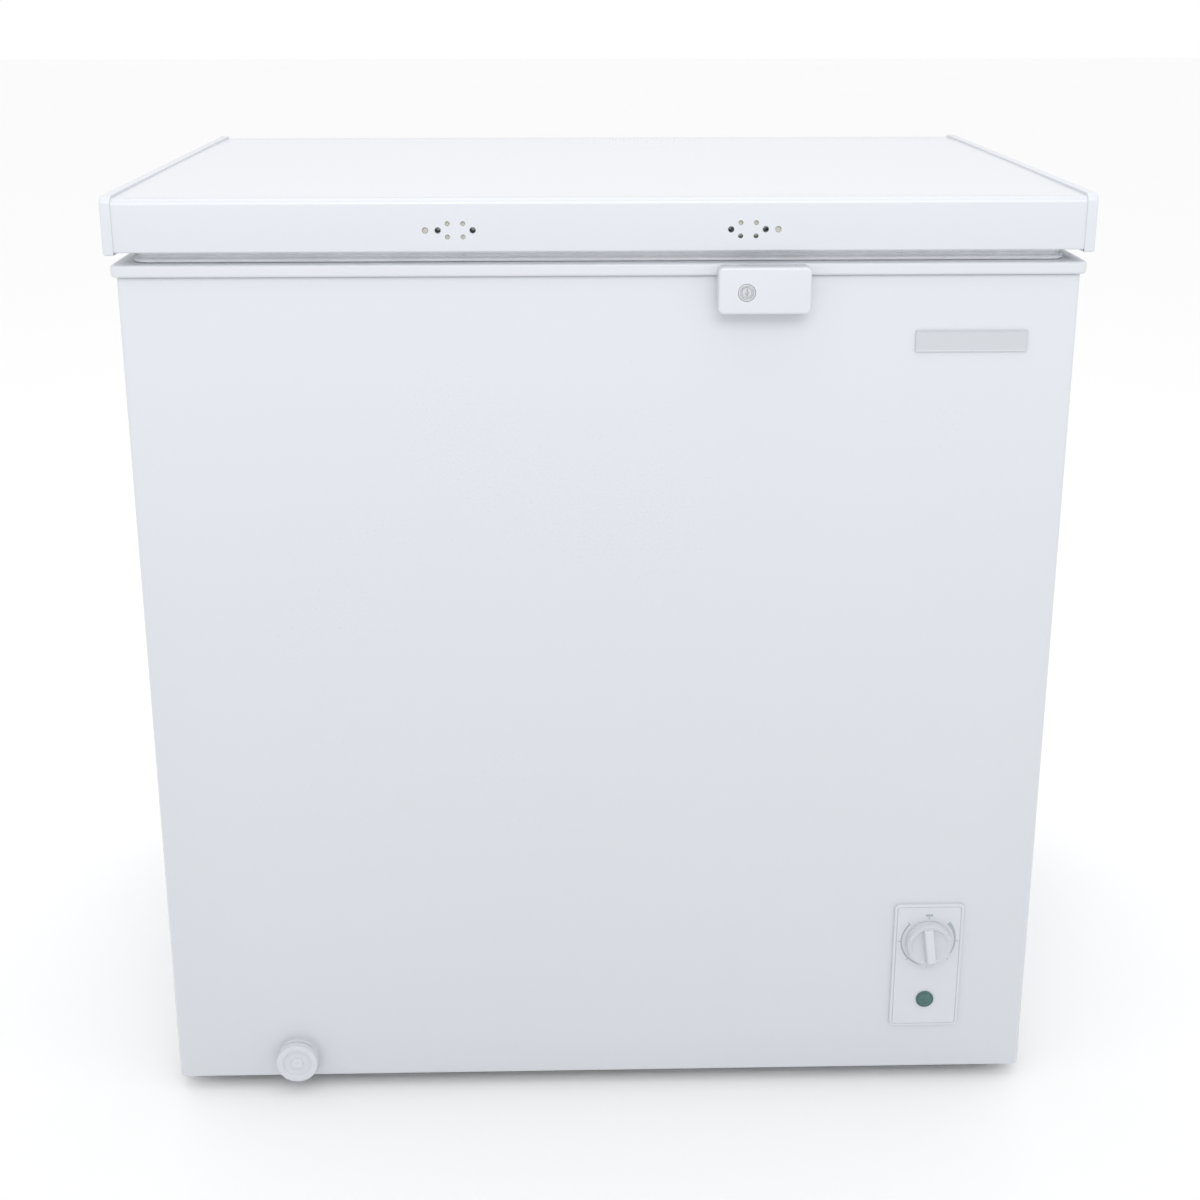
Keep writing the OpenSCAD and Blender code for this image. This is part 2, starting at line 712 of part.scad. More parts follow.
// Pipe from the evaporator back to the compressor
module suction_pipe() {
    color([0.76, 0.46, 0.3])
        pipe([[evap_out_x, evap_tail_y, bay_z1 - 33], [evap_out_x, evap_tail_y, suction_z],
              [suction_x, suction_y, suction_z]], evap_r, tail_bend);
}

// Fine tube that feeds the evaporator
module capillary_tube() {
    run_x = evap_in[0] + 7;
    turn_y = stub_y - 60;
    color([0.76, 0.46, 0.3])
        pipe([[cond_out_x, drier_y0 + drier_l, cond_end_z], [cond_out_x, turn_y, cond_end_z],
              [cond_out_x, turn_y, cond_end_z - 30], [run_x, turn_y, cond_end_z - 30],
              [run_x, turn_y, evap_z], [run_x, evap_in[1], evap_z], evap_in],
             cap_tube_r, 4);
}

// Inner wiring from the thermostat to the relay, and from there to the gland
module wiring_harness() {
    side = (relay_x0 + relay_x1) / 2 + 3;
    color([0.2, 0.2, 0.22]) {
        pipe([[panel_x, thermo_y1, knob_z], [panel_x, thermo_y1 + 100, knob_z],
              [side, thermo_y1 + 100, knob_z], [side, thermo_y1 + 100, relay_z0 + 25],
              [side, relay_y - relay_w / 2, relay_z0 + 25]], lead_r, 8);
        pipe([[side, relay_y + relay_w / 2, relay_z0 + 25], [side, cover_y - 50, relay_z0 + 25],
              [side, cover_y - 50, gland_z], [gland_x, cover_y - 50, gland_z],
              [gland_x, cover_y - 9, gland_z]], lead_r, 8);
    }
}

// Louvred sheet that closes the machine bay at the back
module machine_cover() {
    color([0.8, 0.81, 0.83]) difference() {
        block([cover_x0, cover_y, cover_z0], [cover_x1, cover_y + skin_t, cover_z1]);
        for (x = [comp_x - 62, comp_x + 6], z = [bay_z1 - 100 : 14 : bay_z1 - 16])
            upright(cover_y - 1, cover_y + 2) plate2d(x, x + 56, z, z + 5, 2.4);
        rod_y(gland_x, gland_z, cover_y - 1, cover_y + 2, gland_hole_r);
        for (p = cover_screws_at)
            rod_y(p[0], p[1], cover_y - 1, cover_y + 2, cover_screw_r + screw_gap);
    }
}

// Screws of the machine bay's cover
module cover_screws() {
    color([0.7, 0.7, 0.72]) for (p = cover_screws_at)
        screw_y(p[0], p[1], cover_y + skin_t, 10, cover_screw_r, 4, 2.2);
}

// Plastic grille in the right side, beside the compressor
module side_vent() {
    lip_x = side_x + 2;
    slat = 8;
    color([0.9, 0.91, 0.93]) difference() {
        union() {
            sideways(side_x, lip_x)
                plate2d(vent_y0 - vent_lip, vent_y1 + vent_lip, vent_z0 - vent_lip, vent_z1 + vent_lip, 4);
            block([side_x - skin_t - 2, vent_y0, vent_z0], [side_x, vent_y1, vent_z1]);
        }
        for (z = [vent_z0 + slat / 2 : slat * 1.5 : vent_z1 - slat])
            block([side_x - 5, vent_y0 + 5, z], [side_x + 4, vent_y1 - 5, z + slat * 0.8]);
    }
}

// Snap-in gland for the mains lead
module cord_gland() {
    color([0.1, 0.1, 0.11]) difference() {
        union() {
            rod_y(gland_x, gland_z, cover_y - 8, cover_y + 8, gland_hole_r);
            rod_y(gland_x, gland_z, cover_y + skin_t, cover_y + 3.5, gland_hole_r + 4);
        }
        rod_y(gland_x, gland_z, cover_y - 9, cover_y + 9, cord_r);
    }
}

// ---------------------------------------------------------------- controls

// Moulded panel that carries the thermostat and the indicator
module control_panel() {
    color([0.92, 0.93, 0.95]) difference() {
        union() {
            upright(panel_y, front_y) plate2d(panel_x - panel_w / 2, panel_x + panel_w / 2,
                panel_z - panel_h / 2, panel_z + panel_h / 2, 5);
            difference() {
                upright(front_y, front_y + panel_box)
                    plate2d(panel_x - panel_w / 2 + panel_border, panel_x + panel_w / 2 - panel_border,
                            panel_z - panel_h / 2 + panel_border, panel_z + panel_h / 2 - panel_border, 3);
                upright(front_y - 1, front_y + panel_box + 1)
                    plate2d(panel_x - panel_w / 2 + panel_border + 2, panel_x + panel_w / 2 - panel_border - 2,
                            panel_z - panel_h / 2 + panel_border + 2, panel_z + panel_h / 2 - panel_border - 2, 2);
            }
        }
        rod_y(panel_x, knob_z, panel_y - 1, front_y + 1, spindle_r + 0.6);
        rod_y(panel_x, lens_z, panel_y - 1, front_y + 1, lens_r);
    }
}

// Switch body of the thermostat
module thermostat() {
    color([0.55, 0.56, 0.58]) difference() {
        union() {
            block([panel_x - 20, thermo_y0, knob_z - 15], [panel_x + 20, thermo_y1, knob_z + 15]);
            rod_y(panel_x, knob_z, front_y, thermo_y0, spindle_r + 3);
        }
        rod_y(panel_x, knob_z, front_y - 1, thermo_y0 + 12, spindle_r + fit);
    }
}

// Fine feeler tube of the thermostat, with its bulb against the tank's step
module thermostat_bulb() {
    color([0.76, 0.46, 0.3]) {
        rod_x(bulb_y, bulb_z, bulb_x0, bulb_x1, bulb_r);
        pipe([[feeler_x, thermo_y1, feeler_z], [feeler_x, bulb_y, feeler_z], [feeler_x, bulb_y, bulb_z],
              [bulb_x1, bulb_y, bulb_z]], feeler_r, 6);
    }
}

// Green lens of the power indicator
module indicator_lens() {
    color([0.25, 0.55, 0.5]) {
        rod_y(panel_x, lens_z, panel_y - 1.2, front_y, lens_r - fit);
        intersection() {
            translate([panel_x, panel_y - 1.2 + 22, lens_z]) sphere(r = 23.5);
            rod_y(panel_x, lens_z, panel_y - 3, panel_y - 1.2, lens_r - 1);
        }
    }
}

// Lamp behind the lens, with its clip
module indicator_lamp() {
    color([0.8, 0.8, 0.75]) {
        rod_y(panel_x, lens_z, front_y + 1, front_y + 16, 4);
        rod_y(panel_x, lens_z, front_y, front_y + 3, lens_r + 2);
    }
}

// Thermostat knob with a grip ridge across its face
module thermostat_knob() {
    tip_y = panel_y - knob_out;
    disc_y = panel_y - 5;
    color([0.9, 0.91, 0.94]) difference() {
        union() {
            rod_y(panel_x, knob_z, disc_y, panel_y - seat_gap, knob_r);
            rod_y(panel_x, knob_z, tip_y + 3, disc_y, knob_r - 3);
            upright(tip_y, disc_y) intersection() {
                translate([panel_x, knob_z]) circle(knob_r - 3);
                plate2d(panel_x - 4, panel_x + 4, knob_z - knob_r, knob_z + knob_r, 1);
            }
        }
        rod_y(panel_x, knob_z, disc_y + 0.5, panel_y + 1, spindle_r);
    }
}

// Spindle between the knob and the thermostat
module thermostat_spindle() {
    color([0.7, 0.7, 0.72]) rod_y(panel_x, knob_z, panel_y - 4.5, thermo_y0 + 11, spindle_r);
}

// ---------------------------------------------------------------- lock

// Housing of the key lock, open at the back towards the collar, with the arm's slot in its top
module lock_housing() {
    color([0.9, 0.91, 0.93]) difference() {
        upright(lock_y, front_y) plate2d(lock_x0, lock_x1, lock_z0, lock_z1, 3);
        upright(lock_y + lock_wall, front_y + 1)
            plate2d(lock_x0 + lock_wall, lock_x1 - lock_wall, lock_z0 + lock_wall, lock_z1 - lock_wall, 1.5);
        block([lock_x0 - 1, collar_y, top_z], [lock_x1 + 1, front_y + 1, lock_z1 + 1]);
        block([arm_slot_x0, arm_slot_y0, lock_z1 - lock_wall - 1],
              [key_x + arm_reach(lock_z1 - lock_wall - key_z) + slot_gap, arm_slot_y1, lock_z1 + 1]);
        rod_y(key_x, key_z, lock_y - 1, lock_y + lock_wall + 1, cyl_r + fit);
    }
}

// Key cylinder with its keyhole
module lock_cylinder() {
    color([0.7, 0.71, 0.73]) difference() {
        union() {
            rod_y(key_x, key_z, lock_y, arm_y0, cyl_r);
            rod_y(key_x, key_z, lock_y + lock_wall + 0.4, lock_y + lock_wall + 2, cyl_r + 1.2);
        }
        upright(lock_y - 1, lock_y + 6) {
            translate([key_x - 0.8, key_z - 4]) square([1.6, 8]);
            translate([key_x, key_z]) circle(2);
        }
    }
}

// Hooked arm of the lock: it lies to the right when unlocked and swings up into the lid
module lock_arm() {
    color([0.6, 0.61, 0.63]) translate([key_x, 0, key_z]) upright(arm_y0, arm_y1) {
        circle(cyl_r - 1);
        intersection() {
            translate([0, -arm_w / 2]) square([arm_len + 1, arm_w]);
            circle(arm_len);
        }
        intersection() {
            difference() {
                circle(arm_len);
                circle(hook_in);
            }
            polygon([[0, 0], [2 * arm_len, 0], [2 * arm_len * cos(hook_angle), 2 * arm_len * sin(hook_angle)]]);
        }
    }
}

// Raised plate without a name on it
module badge_plate() {
    color([0.93, 0.94, 0.96]) {
        for (l = [[front_y - badge_t, front_y, 0], [front_y - 1.6 * badge_t, front_y - badge_t, 2]])
            upright(l[0], l[1]) plate2d(badge_x - badge_w / 2 + l[2], badge_x + badge_w / 2 - l[2],
                badge_z - badge_h / 2 + l[2], badge_z + badge_h / 2 - l[2], 1.5);
    }
}

// ---------------------------------------------------------------- drain

// Tube from the tank's floor to the front
module drain_tube() {
    color([0.85, 0.86, 0.88]) difference() {
        pipe(drain_path, drain_hole_r, drain_bend);
        pipe(drain_path, drain_r + fit, drain_bend);
        bar(drain_path[0] + [0, 0, 1], drain_path[0] - [0, 0, 2], drain_r + fit);
        bar(drain_path[2] - [0, 1, 0], drain_path[2] + [0, 2, 0], drain_r + fit);
    }
}

// Fixed ring round the drain's outlet
module drain_bezel() {
    color([0.9, 0.91, 0.94]) difference() {
        union() {
            rod_y(-drain_x, drain_z, front_y - 3.5, front_y, drain_cap_r - 0.5);
            rod_y(-drain_x, drain_z, front_y, front_y + skin_t, drain_hole_r);
        }
        rod_y(-drain_x, drain_z, front_y - 5, front_y + 2, drain_r + fit);
    }
}

// Sliding spout, with an outlet in its side
module drain_spout() {
    y0 = front_y - 5;
    y1 = front_y + 38;
    color([0.88, 0.89, 0.92]) difference() {
        union() {
            rod_y(-drain_x, drain_z, y0, y1, drain_r);
            rod_y(-drain_x, drain_z, y0, front_y - 3.7, drain_r + 2);
        }
        rod_y(-drain_x, drain_z, y0 + 3, y1 + 1, drain_r - 2);
        rod_y(-drain_x, drain_z, y0 - 1, y0 + 4, 2.5 + fit);
        bar([-drain_x, front_y + 5, drain_z], [-drain_x, front_y + 5, drain_z - drain_r - 1], 4);
    }
}

// Round cap on the spout, which turns on its stem
module drain_cap() {
    y1 = front_y - 5.3;
    y0 = front_y - 13;
    color([0.9, 0.91, 0.94]) {
        difference() {
            rod_y(-drain_x, drain_z, y0, y1, drain_cap_r);
            rod_y(-drain_x, drain_z, y0 - 1, y0 + 1.5, drain_cap_r * 0.68);
        }
        rod_y(-drain_x, drain_z, y0 + 0.5, y0 + 2, drain_cap_r * 0.3);
        rod_y(-drain_x, drain_z, y1 - 1, front_y - 1.5, 2.5);
    }
}

// Rubber stopper in the tank's floor
module drain_stopper() {
    color([0.3, 0.31, 0.33]) translate([-drain_x, drain_in_y, tank_z]) {
        translate([0, 0, -12]) cylinder(h = 12.5, r = drain_r - fit);
        translate([0, 0, seat_gap]) cylinder(h = 4, r = drain_r + 5);
        translate([0, 0, 4]) cylinder(h = 6, r = 4);
    }
}

// ---------------------------------------------------------------- feet

// Four moulded feet
module feet() {
    color([0.2, 0.2, 0.21]) for (p = feet_at) translate([p[0], p[1], 0]) difference() {
        cylinder(h = pan_z, r1 = foot_r - 3, r2 = foot_r);
        translate([0, 0, -1]) cylinder(h = 6, r = 6);
        cylinder(h = pan_z + 1, r = 2.5 + screw_gap);
    }
}

// Screws that hold the feet to the base pan
module foot_screws() {
    color([0.7, 0.7, 0.72]) for (p = feet_at) translate([p[0], p[1], 0]) {
        translate([0, 0, 2.5]) cylinder(h = 2.5, r = 5);
        translate([0, 0, 4]) cylinder(h = bay_z0 + 8, r = 2.5);
    }
}

// ---------------------------------------------------------------- hinges

// Base of a hinge on the cabinet's back: a plate and two ears that hold the pin
module hinge_base(x) {
    plate_z1 = top_z - 1;
    color([0.75, 0.76, 0.78]) difference() {
        union() {
            block([x - hinge_w / 2, back_y, pivot_z - base_low], [x + hinge_w / 2, back_y + base_plate_t, plate_z1]);
            for (e = [x - hinge_w / 2, x + hinge_w / 2 - ear_t]) sideways(e, e + ear_t) {
                translate([pivot_y, pivot_z]) circle(ear_r);
                polygon([[back_y, pivot_z - base_low + 20], [back_y + 4, pivot_z - base_low + 20],
                         [pivot_y + ear_r, pivot_z - 10], [pivot_y + ear_r, pivot_z],
                         [pivot_y - ear_r, pivot_z], [back_y + collar_back + 1.5, plate_z1],
                         [back_y, plate_z1]]);
            }
        }
        rod_x(pivot_y, pivot_z, x - hinge_w, x + hinge_w, pin_r);
        for (p = base_screws_at)
            rod_y(x + p[0], p[1], back_y - 1, back_y + 3, hinge_screw_r + screw_gap);
    }
}

// Arm of a hinge on the lid's rear face, with two knuckles round the pin
module hinge_arm(x) {
    inner = hinge_w / 2 - ear_t - 0.5;
    color([0.78, 0.79, 0.81]) difference() {
        union() {
            block([x - 28, lid_back, arm_z0], [x + 28, lid_back + arm_t, arm_z1]);
            for (k = [x - inner, x + inner - knuckle_w]) {
                block([k, lid_back, pivot_z - 2], [k + knuckle_w, lid_back + arm_t, arm_z0 + 1]);
                block([k, lid_back, pivot_z - 2], [k + knuckle_w, pivot_y, pivot_z + 2]);
                rod_x(pivot_y, pivot_z, k, k + knuckle_w, knuckle_r);
            }
        }
        rod_x(pivot_y, pivot_z, x - hinge_w, x + hinge_w, pin_r + fit);
        for (p = arm_screws_at)
            rod_y(x + p[0], p[1], lid_back - 1, lid_back + 3, hinge_screw_r + screw_gap);
    }
}

module hinge_base_left() hinge_base(-hinge_x);
module hinge_base_right() hinge_base(hinge_x);
module hinge_arm_left() hinge_arm(-hinge_x);
module hinge_arm_right() hinge_arm(hinge_x);

// Pins through the ears and the knuckles
module hinge_pins() {
    color([0.65, 0.66, 0.68]) for (s = [-1, 1]) {
        rod_x(pivot_y, pivot_z, s * hinge_x - hinge_w / 2 - 2, s * hinge_x + hinge_w / 2 + 2, pin_r);
        for (e = [-hinge_w / 2 - 2, hinge_w / 2])
            rod_x(pivot_y, pivot_z, s * hinge_x + e, s * hinge_x + e + 2, pin_r + 2);
    }
}

// Torsion springs round the pins, between the knuckles
module hinge_springs() {
    span = hinge_w - 2 * ear_t - 1 - 2 * knuckle_w - 4;
    sides = 8;
    steps = 20 * spring_turns;
    function spring_point(i, j) =
        let (a = 360 * i / 20, b = 360 * j / sides, r = spring_r + spring_wire * cos(b))
        [span * (i / steps - 0.5) + spring_wire * sin(b), r * cos(a), r * sin(a)];
    color([0.4, 0.41, 0.43]) for (s = [-1, 1])
        translate([s * hinge_x, pivot_y, pivot_z]) polyhedron(
            points = [for (i = [0:steps], j = [0:sides - 1]) spring_point(i, j)],
            faces = concat(
                [[for (j = [0:sides - 1]) j]],
                [[for (j = [0:sides - 1]) steps * sides + sides - 1 - j]],
                [for (i = [0:steps - 1], j = [0:sides - 1])
                    let (k = (j + 1) % sides)
                    [i * sides + j, (i + 1) * sides + j, (i + 1) * sides + k, i * sides + k]]));
}

// Screws of both hinge bases
module hinge_base_screws() {
    color([0.72, 0.72, 0.74]) for (s = [-1, 1], p = base_screws_at)
        screw_y(s * hinge_x + p[0], p[1], back_y + base_plate_t, 18, hinge_screw_r, 4, 2.2);
}

// Screws of both hinge arms
module hinge_arm_screws() {
    color([0.72, 0.72, 0.74]) for (s = [-1, 1], p = arm_screws_at)
        screw_y(s * hinge_x + p[0], p[1], lid_back + arm_t, 14, hinge_screw_r, 4, 2.2);
}

// ---------------------------------------------------------------- lid

// Outline of the lid's cross-section, shrunk by g
module lid_outline(g, z0, z1) {
    r = max(lid_r - g, 0.5);
    intersection() {
        plate2d(lid_y + g, lid_back - g, z0 - 2 * lid_r, z1 - g, r);
        translate([lid_y - 5, z0]) square([lid_back - lid_y + 10, z1 - z0]);
    }
}

// Places of the round holes of one handle group: [x, z, radius]
function handle_holes(s) = concat(
    [for (x = [-1, 1]) [s * handle_x + x * insert_gap / 2, handle_z, insert_r]],
    [for (x = [-1, 1], z = [-1, 1]) [s * handle_x + x * rivet_dx / 2, handle_z + z * rivet_dz / 2, rivet_r]],
    [[s * (handle_x + outer_hole), handle_z, insert_r]]);

// Steel skin of the lid, bent down at the front and the back and turned in underneath
module lid_skin() {
    color([0.95, 0.955, 0.965]) difference() {
        sideways(-skin_x, skin_x) difference() {
            lid_outline(0, lid_z, lid_top);
            lid_outline(skin_t, lid_z + skin_t, lid_top);
            translate([lid_y + 14, lid_z - 1]) square([lid_back - lid_y - 28, 3]);
        }
        for (s = [-1, 1], h = handle_holes(s)) rod_y(h[0], h[1], lid_y - 1, lid_y + 2, h[2]);
        for (s = [-1, 1], p = arm_screws_at)
            rod_y(s * hinge_x + p[0], p[1], lid_back - 2, lid_back + 1, hinge_screw_r + screw_gap);
        strike_slot(lid_z - 1, lid_z + 2);
    }
}

// The space that the lock's arm sweeps through in the lid
module strike_slot(z0, z1) {
    block([arm_slot_x0 - 0.2, lid_y + skin_t, z0],
          [key_x + arm_reach(lid_z - key_z) + slot_gap, arm_slot_y1 + 0.4, z1]);
}

// End cap of the lid, with a tongue that reaches inside the skin
module lid_end_cap(side) {
    cap_r = 7;
    color([0.9, 0.91, 0.94]) mirror([side < 0 ? 1 : 0, 0, 0]) {
        intersection() {
            sideways(skin_x, lid_x)
                plate2d(lid_y - 1, lid_back + 1, lid_z - cap_drop, lid_top + cap_proud, cap_r);
            upright(lid_y - 2, lid_back + 2) intersection() {
                plate2d(skin_x - 20, lid_x, lid_z - 20, lid_top + cap_proud, cap_r);
                translate([skin_x, lid_z - cap_drop]) square([cap_w, lid_h + cap_drop + cap_proud]);
            }
        }
        sideways(skin_x - tongue, skin_x) difference() {
            lid_outline(skin_t + touch_gap, tongue_z, lid_top);
            lid_outline(skin_t + touch_gap + tongue_t, tongue_z + tongue_t, lid_top);
        }
    }
}

module lid_end_cap_left() lid_end_cap(-1);
module lid_end_cap_right() lid_end_cap(1);

// Foamed-in insulation of the lid, down into the liner's plug
module lid_foam() {
    x = skin_x - tongue - touch_gap;
    color([0.93, 0.87, 0.62]) difference() {
        union() {
            sideways(-x, x) lid_outline(skin_t, liner_z + lid_liner_t, lid_top);
            translate([0, 0, plug_z + lid_liner_t]) linear_extrude(liner_z - plug_z + 1)
                plate2d(-plug_x + lid_liner_t, plug_x - lid_liner_t, plug_y0 + lid_liner_t,
                        plug_y1 - lid_liner_t, tank_r - lid_liner_t);
        }
        block([arm_turned_x0 - 1.5, lid_y, lid_z],
              [key_x + arm_reach(lid_z - key_z) + 5, arm_slot_y1 + 0.6, key_z + arm_len + 1.5]);
        for (s = [-1, 1], h = handle_holes(s)) rod_y(h[0], h[1], lid_y, lid_y + insert_l, h[2]);
        block([key_x - 22, lid_y, lid_z], [key_x + 44, strike_y1, strike_z + strike_t]);
        for (s = [-1, 1], x = [-1, 1]) {
            rod_y(s * handle_x + x * insert_gap / 2, handle_z, lid_y, lid_y + insert_l, insert_r);
            rod_y(s * handle_x + x * insert_gap / 2, handle_z, lid_y + skin_t, lid_y + 5, insert_r + 1.6);
        }
        for (s = [-1, 1], p = arm_screws_at)
            rod_y(s * hinge_x + p[0], p[1], lid_back - 20, lid_back, hinge_screw_r + screw_gap);
    }
}

// Moulded liner under the lid, with the raised plug
module lid_liner() {
    x1 = gasket_x + 1;
    color([0.95, 0.96, 0.97]) difference() {
        union() {
            translate([0, 0, liner_z]) linear_extrude(lid_liner_t)
                plate2d(-x1, x1, gasket_y0 - 1, gasket_y1 + 1, gasket_r);
            translate([0, 0, plug_z]) linear_extrude(liner_z - plug_z + lid_liner_t / 2)
                plate2d(-plug_x, plug_x, plug_y0, plug_y1, tank_r);
        }
        translate([0, 0, plug_z + lid_liner_t]) linear_extrude(liner_z - plug_z + 2)
            plate2d(-plug_x + lid_liner_t, plug_x - lid_liner_t, plug_y0 + lid_liner_t,
                    plug_y1 - lid_liner_t, tank_r - lid_liner_t);
    }
}

// Soft magnetic gasket: a foot, a bellows and a magnet strip
module lid_gasket() {
    // [height of the layer's bottom above the collar, its thickness, how much narrower it is]
    layers = [[seat_gap, 3.5, 1], [seat_gap + 3.5, 3.5, 5],
              [seat_gap + 7, liner_z - collar_z - seat_gap - 7, 0]];
    color([0.85, 0.87, 0.89]) for (l = layers) translate([0, 0, collar_z + l[0]]) linear_extrude(l[1])
        difference() {
            plate2d(-gasket_x + l[2], gasket_x - l[2], gasket_y0 + l[2], gasket_y1 - l[2], gasket_r - l[2]);
            plate2d(-gasket_x + gasket_w - l[2], gasket_x - gasket_w + l[2], gasket_y0 + gasket_w - l[2],
                    gasket_y1 - gasket_w + l[2], 4 + l[2] / 2);
        }
}

// Steel strike inside the lid's front edge, which the arm's hook catches
module lock_strike() {
    color([0.7, 0.71, 0.73]) difference() {
        block([key_x - 21, lid_y + skin_t, strike_z], [key_x + 43, strike_y1 - touch_gap, strike_z + strike_t]);
        strike_slot(strike_z - 1, strike_z + strike_t + 1);
    }
}

// Threaded inserts for the handle's screws
module handle_inserts(s) {
    color([0.6, 0.61, 0.62]) for (x = [-1, 1]) difference() {
        union() {
            rod_y(s * handle_x + x * insert_gap / 2, handle_z, lid_y, lid_y + insert_l, insert_r);
            rod_y(s * handle_x + x * insert_gap / 2, handle_z, lid_y + skin_t, lid_y + 5, insert_r + 1.6);
        }
        rod_y(s * handle_x + x * insert_gap / 2, handle_z, lid_y - 1, lid_y + insert_l - 1, thread_r);
    }
}

module handle_inserts_left() handle_inserts(-1);
module handle_inserts_right() handle_inserts(1);

// ---------------------------------------------------------------- basket

// Wire basket that hangs on the collar and slides along the tank
module basket() {
    color([0.93, 0.94, 0.95]) {
        hoop(basket_x0, basket_x1, basket_y0, basket_y1, basket_z1, rim_r, 16);
        hoop(basket_x0 + 3, basket_x1 - 3, basket_y0 + 3, basket_y1 - 3, basket_z1 - basket_h / 2, rim_r - 0.5, 16);
        inset = rim_r + wire_r - weld;
        for (i = [1:cross_wires]) {
            x = basket_x0 + i * basket_l / (cross_wires + 1);
            pipe([[x, basket_y0 + inset, basket_z1], [x, basket_y0 + inset, basket_z0],
                  [x, basket_y1 - inset, basket_z0], [x, basket_y1 - inset, basket_z1]], wire_r, 14);
        }
        low = basket_z0 - 2 * wire_r + weld;
        for (i = [1:long_wires]) {
            y = basket_y0 + i * (basket_y1 - basket_y0) / (long_wires + 1);
            pipe([[basket_x0 + inset, y, basket_z1], [basket_x0 + inset, y, low],
                  [basket_x1 - inset, y, low], [basket_x1 - inset, y, basket_z1]], wire_r, 14);
        }
        for (x = [basket_x0 + 32, basket_x1 - 32], s = [-1, 1]) {
            y = s < 0 ? basket_y0 : basket_y1;
            pipe([[x, y - s * 1, basket_z1 - 12], [x, y - s * 1, hook_z],
                  [x, y + s * (hook_over + 6.5), hook_z]], hook_r, 5);
        }
    }
}

outer_shell();
back_panel();
base_pan();
inner_liner();
cabinet_foam();
evaporator_coil();
condenser_coil();
top_collar();
bay_partition();
compressor_shell();
compressor_plate();
compressor_grommets();
compressor_bolts();
relay_cover();
filter_drier();
discharge_pipe();
suction_pipe();
capillary_tube();
wiring_harness();
machine_cover();
cover_screws();
side_vent();
cord_gland();
control_panel();
thermostat();
thermostat_bulb();
indicator_lens();
indicator_lamp();
lock_housing();
badge_plate();
drain_tube();
drain_bezel();
hinge_base_left();
hinge_base_right();
hinge_pins();
hinge_springs();
hinge_base_screws();
feet();
foot_screws();
lid_skin();
lid_end_cap_left();
lid_end_cap_right();
lid_foam();
lid_liner();
lid_gasket();
lock_strike();
handle_inserts_left();
handle_inserts_right();
hinge_arm_left();
hinge_arm_right();
hinge_arm_screws();
thermostat_knob();
thermostat_spindle();
lock_cylinder();
lock_arm();
drain_spout();
drain_cap();
drain_stopper();
basket();
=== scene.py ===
"""Looks of a chest freezer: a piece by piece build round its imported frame, laid out as an add-on."""
import json
import math
from contextlib import contextmanager

import bmesh
import bpy
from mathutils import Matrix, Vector

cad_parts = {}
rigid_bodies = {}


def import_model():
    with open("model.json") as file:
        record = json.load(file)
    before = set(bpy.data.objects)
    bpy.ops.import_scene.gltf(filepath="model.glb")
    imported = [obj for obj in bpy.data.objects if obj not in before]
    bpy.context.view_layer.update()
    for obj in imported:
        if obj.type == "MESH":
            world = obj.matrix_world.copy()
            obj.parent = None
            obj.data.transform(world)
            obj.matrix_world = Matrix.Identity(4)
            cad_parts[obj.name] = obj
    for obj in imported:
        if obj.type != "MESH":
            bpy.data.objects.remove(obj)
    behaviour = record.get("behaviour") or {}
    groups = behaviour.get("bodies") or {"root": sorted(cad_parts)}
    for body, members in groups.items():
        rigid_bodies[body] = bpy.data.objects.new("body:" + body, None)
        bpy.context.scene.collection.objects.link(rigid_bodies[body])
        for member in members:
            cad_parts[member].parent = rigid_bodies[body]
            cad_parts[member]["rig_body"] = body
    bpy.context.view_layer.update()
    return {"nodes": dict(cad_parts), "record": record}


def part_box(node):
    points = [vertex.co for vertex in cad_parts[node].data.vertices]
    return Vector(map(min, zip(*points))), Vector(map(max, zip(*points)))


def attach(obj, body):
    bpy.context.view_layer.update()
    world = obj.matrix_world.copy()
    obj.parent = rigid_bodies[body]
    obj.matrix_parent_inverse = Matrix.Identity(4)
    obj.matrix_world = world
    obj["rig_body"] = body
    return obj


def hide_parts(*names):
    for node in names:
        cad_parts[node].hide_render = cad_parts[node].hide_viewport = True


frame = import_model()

bl_info = {
    "name": "Chest Freezer",
    "version": (1, 0, 0),
    "blender": (4, 5, 0),
    "location": "View3D > Sidebar > Freezer",
    "description": "Builds the visible pieces and finishes of a chest freezer",
    "category": "Object",
}

SLOT_OF = {part["node"]: part["material_slot"] for part in frame["record"]["subparts"]}
FINISHES = {}
MM = 0.001
X = Vector((1, 0, 0))
Y = Vector((0, 1, 0))
Z = Vector((0, 0, 1))


# ---------------------------------------------------------------- places shared by several pieces


def centre_of(node):
    """Middle of a frame node's box."""
    low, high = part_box(node)
    return (low + high) / 2


SCREW_HOLE = 2.7 * MM
RIVET_HOLE = 2.1 * MM
INSERT_FLANGE = 4.3 * MM


def handle_holes():
    """Centre across, height and radius of each hole of both handle groups."""
    rivets_across = 6.35 * MM
    rivets_up = 5.4 * MM
    spare_hole = 24.55 * MM
    holes = []
    for side, node in ((-1, "handle_inserts_left"), (1, "handle_inserts_right")):
        low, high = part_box(node)
        centre = centre_of(node)
        apart = (high.x - low.x) / 2 - INSERT_FLANGE
        holes += [(centre.x + x * apart, centre.z, SCREW_HOLE) for x in (-1, 1)]
        holes += [(centre.x + x * rivets_across, centre.z + z * rivets_up, RIVET_HOLE)
                  for x in (-1, 1) for z in (-1, 1)]
        holes.append((centre.x + side * spare_hole, centre.z, SCREW_HOLE))
    return holes


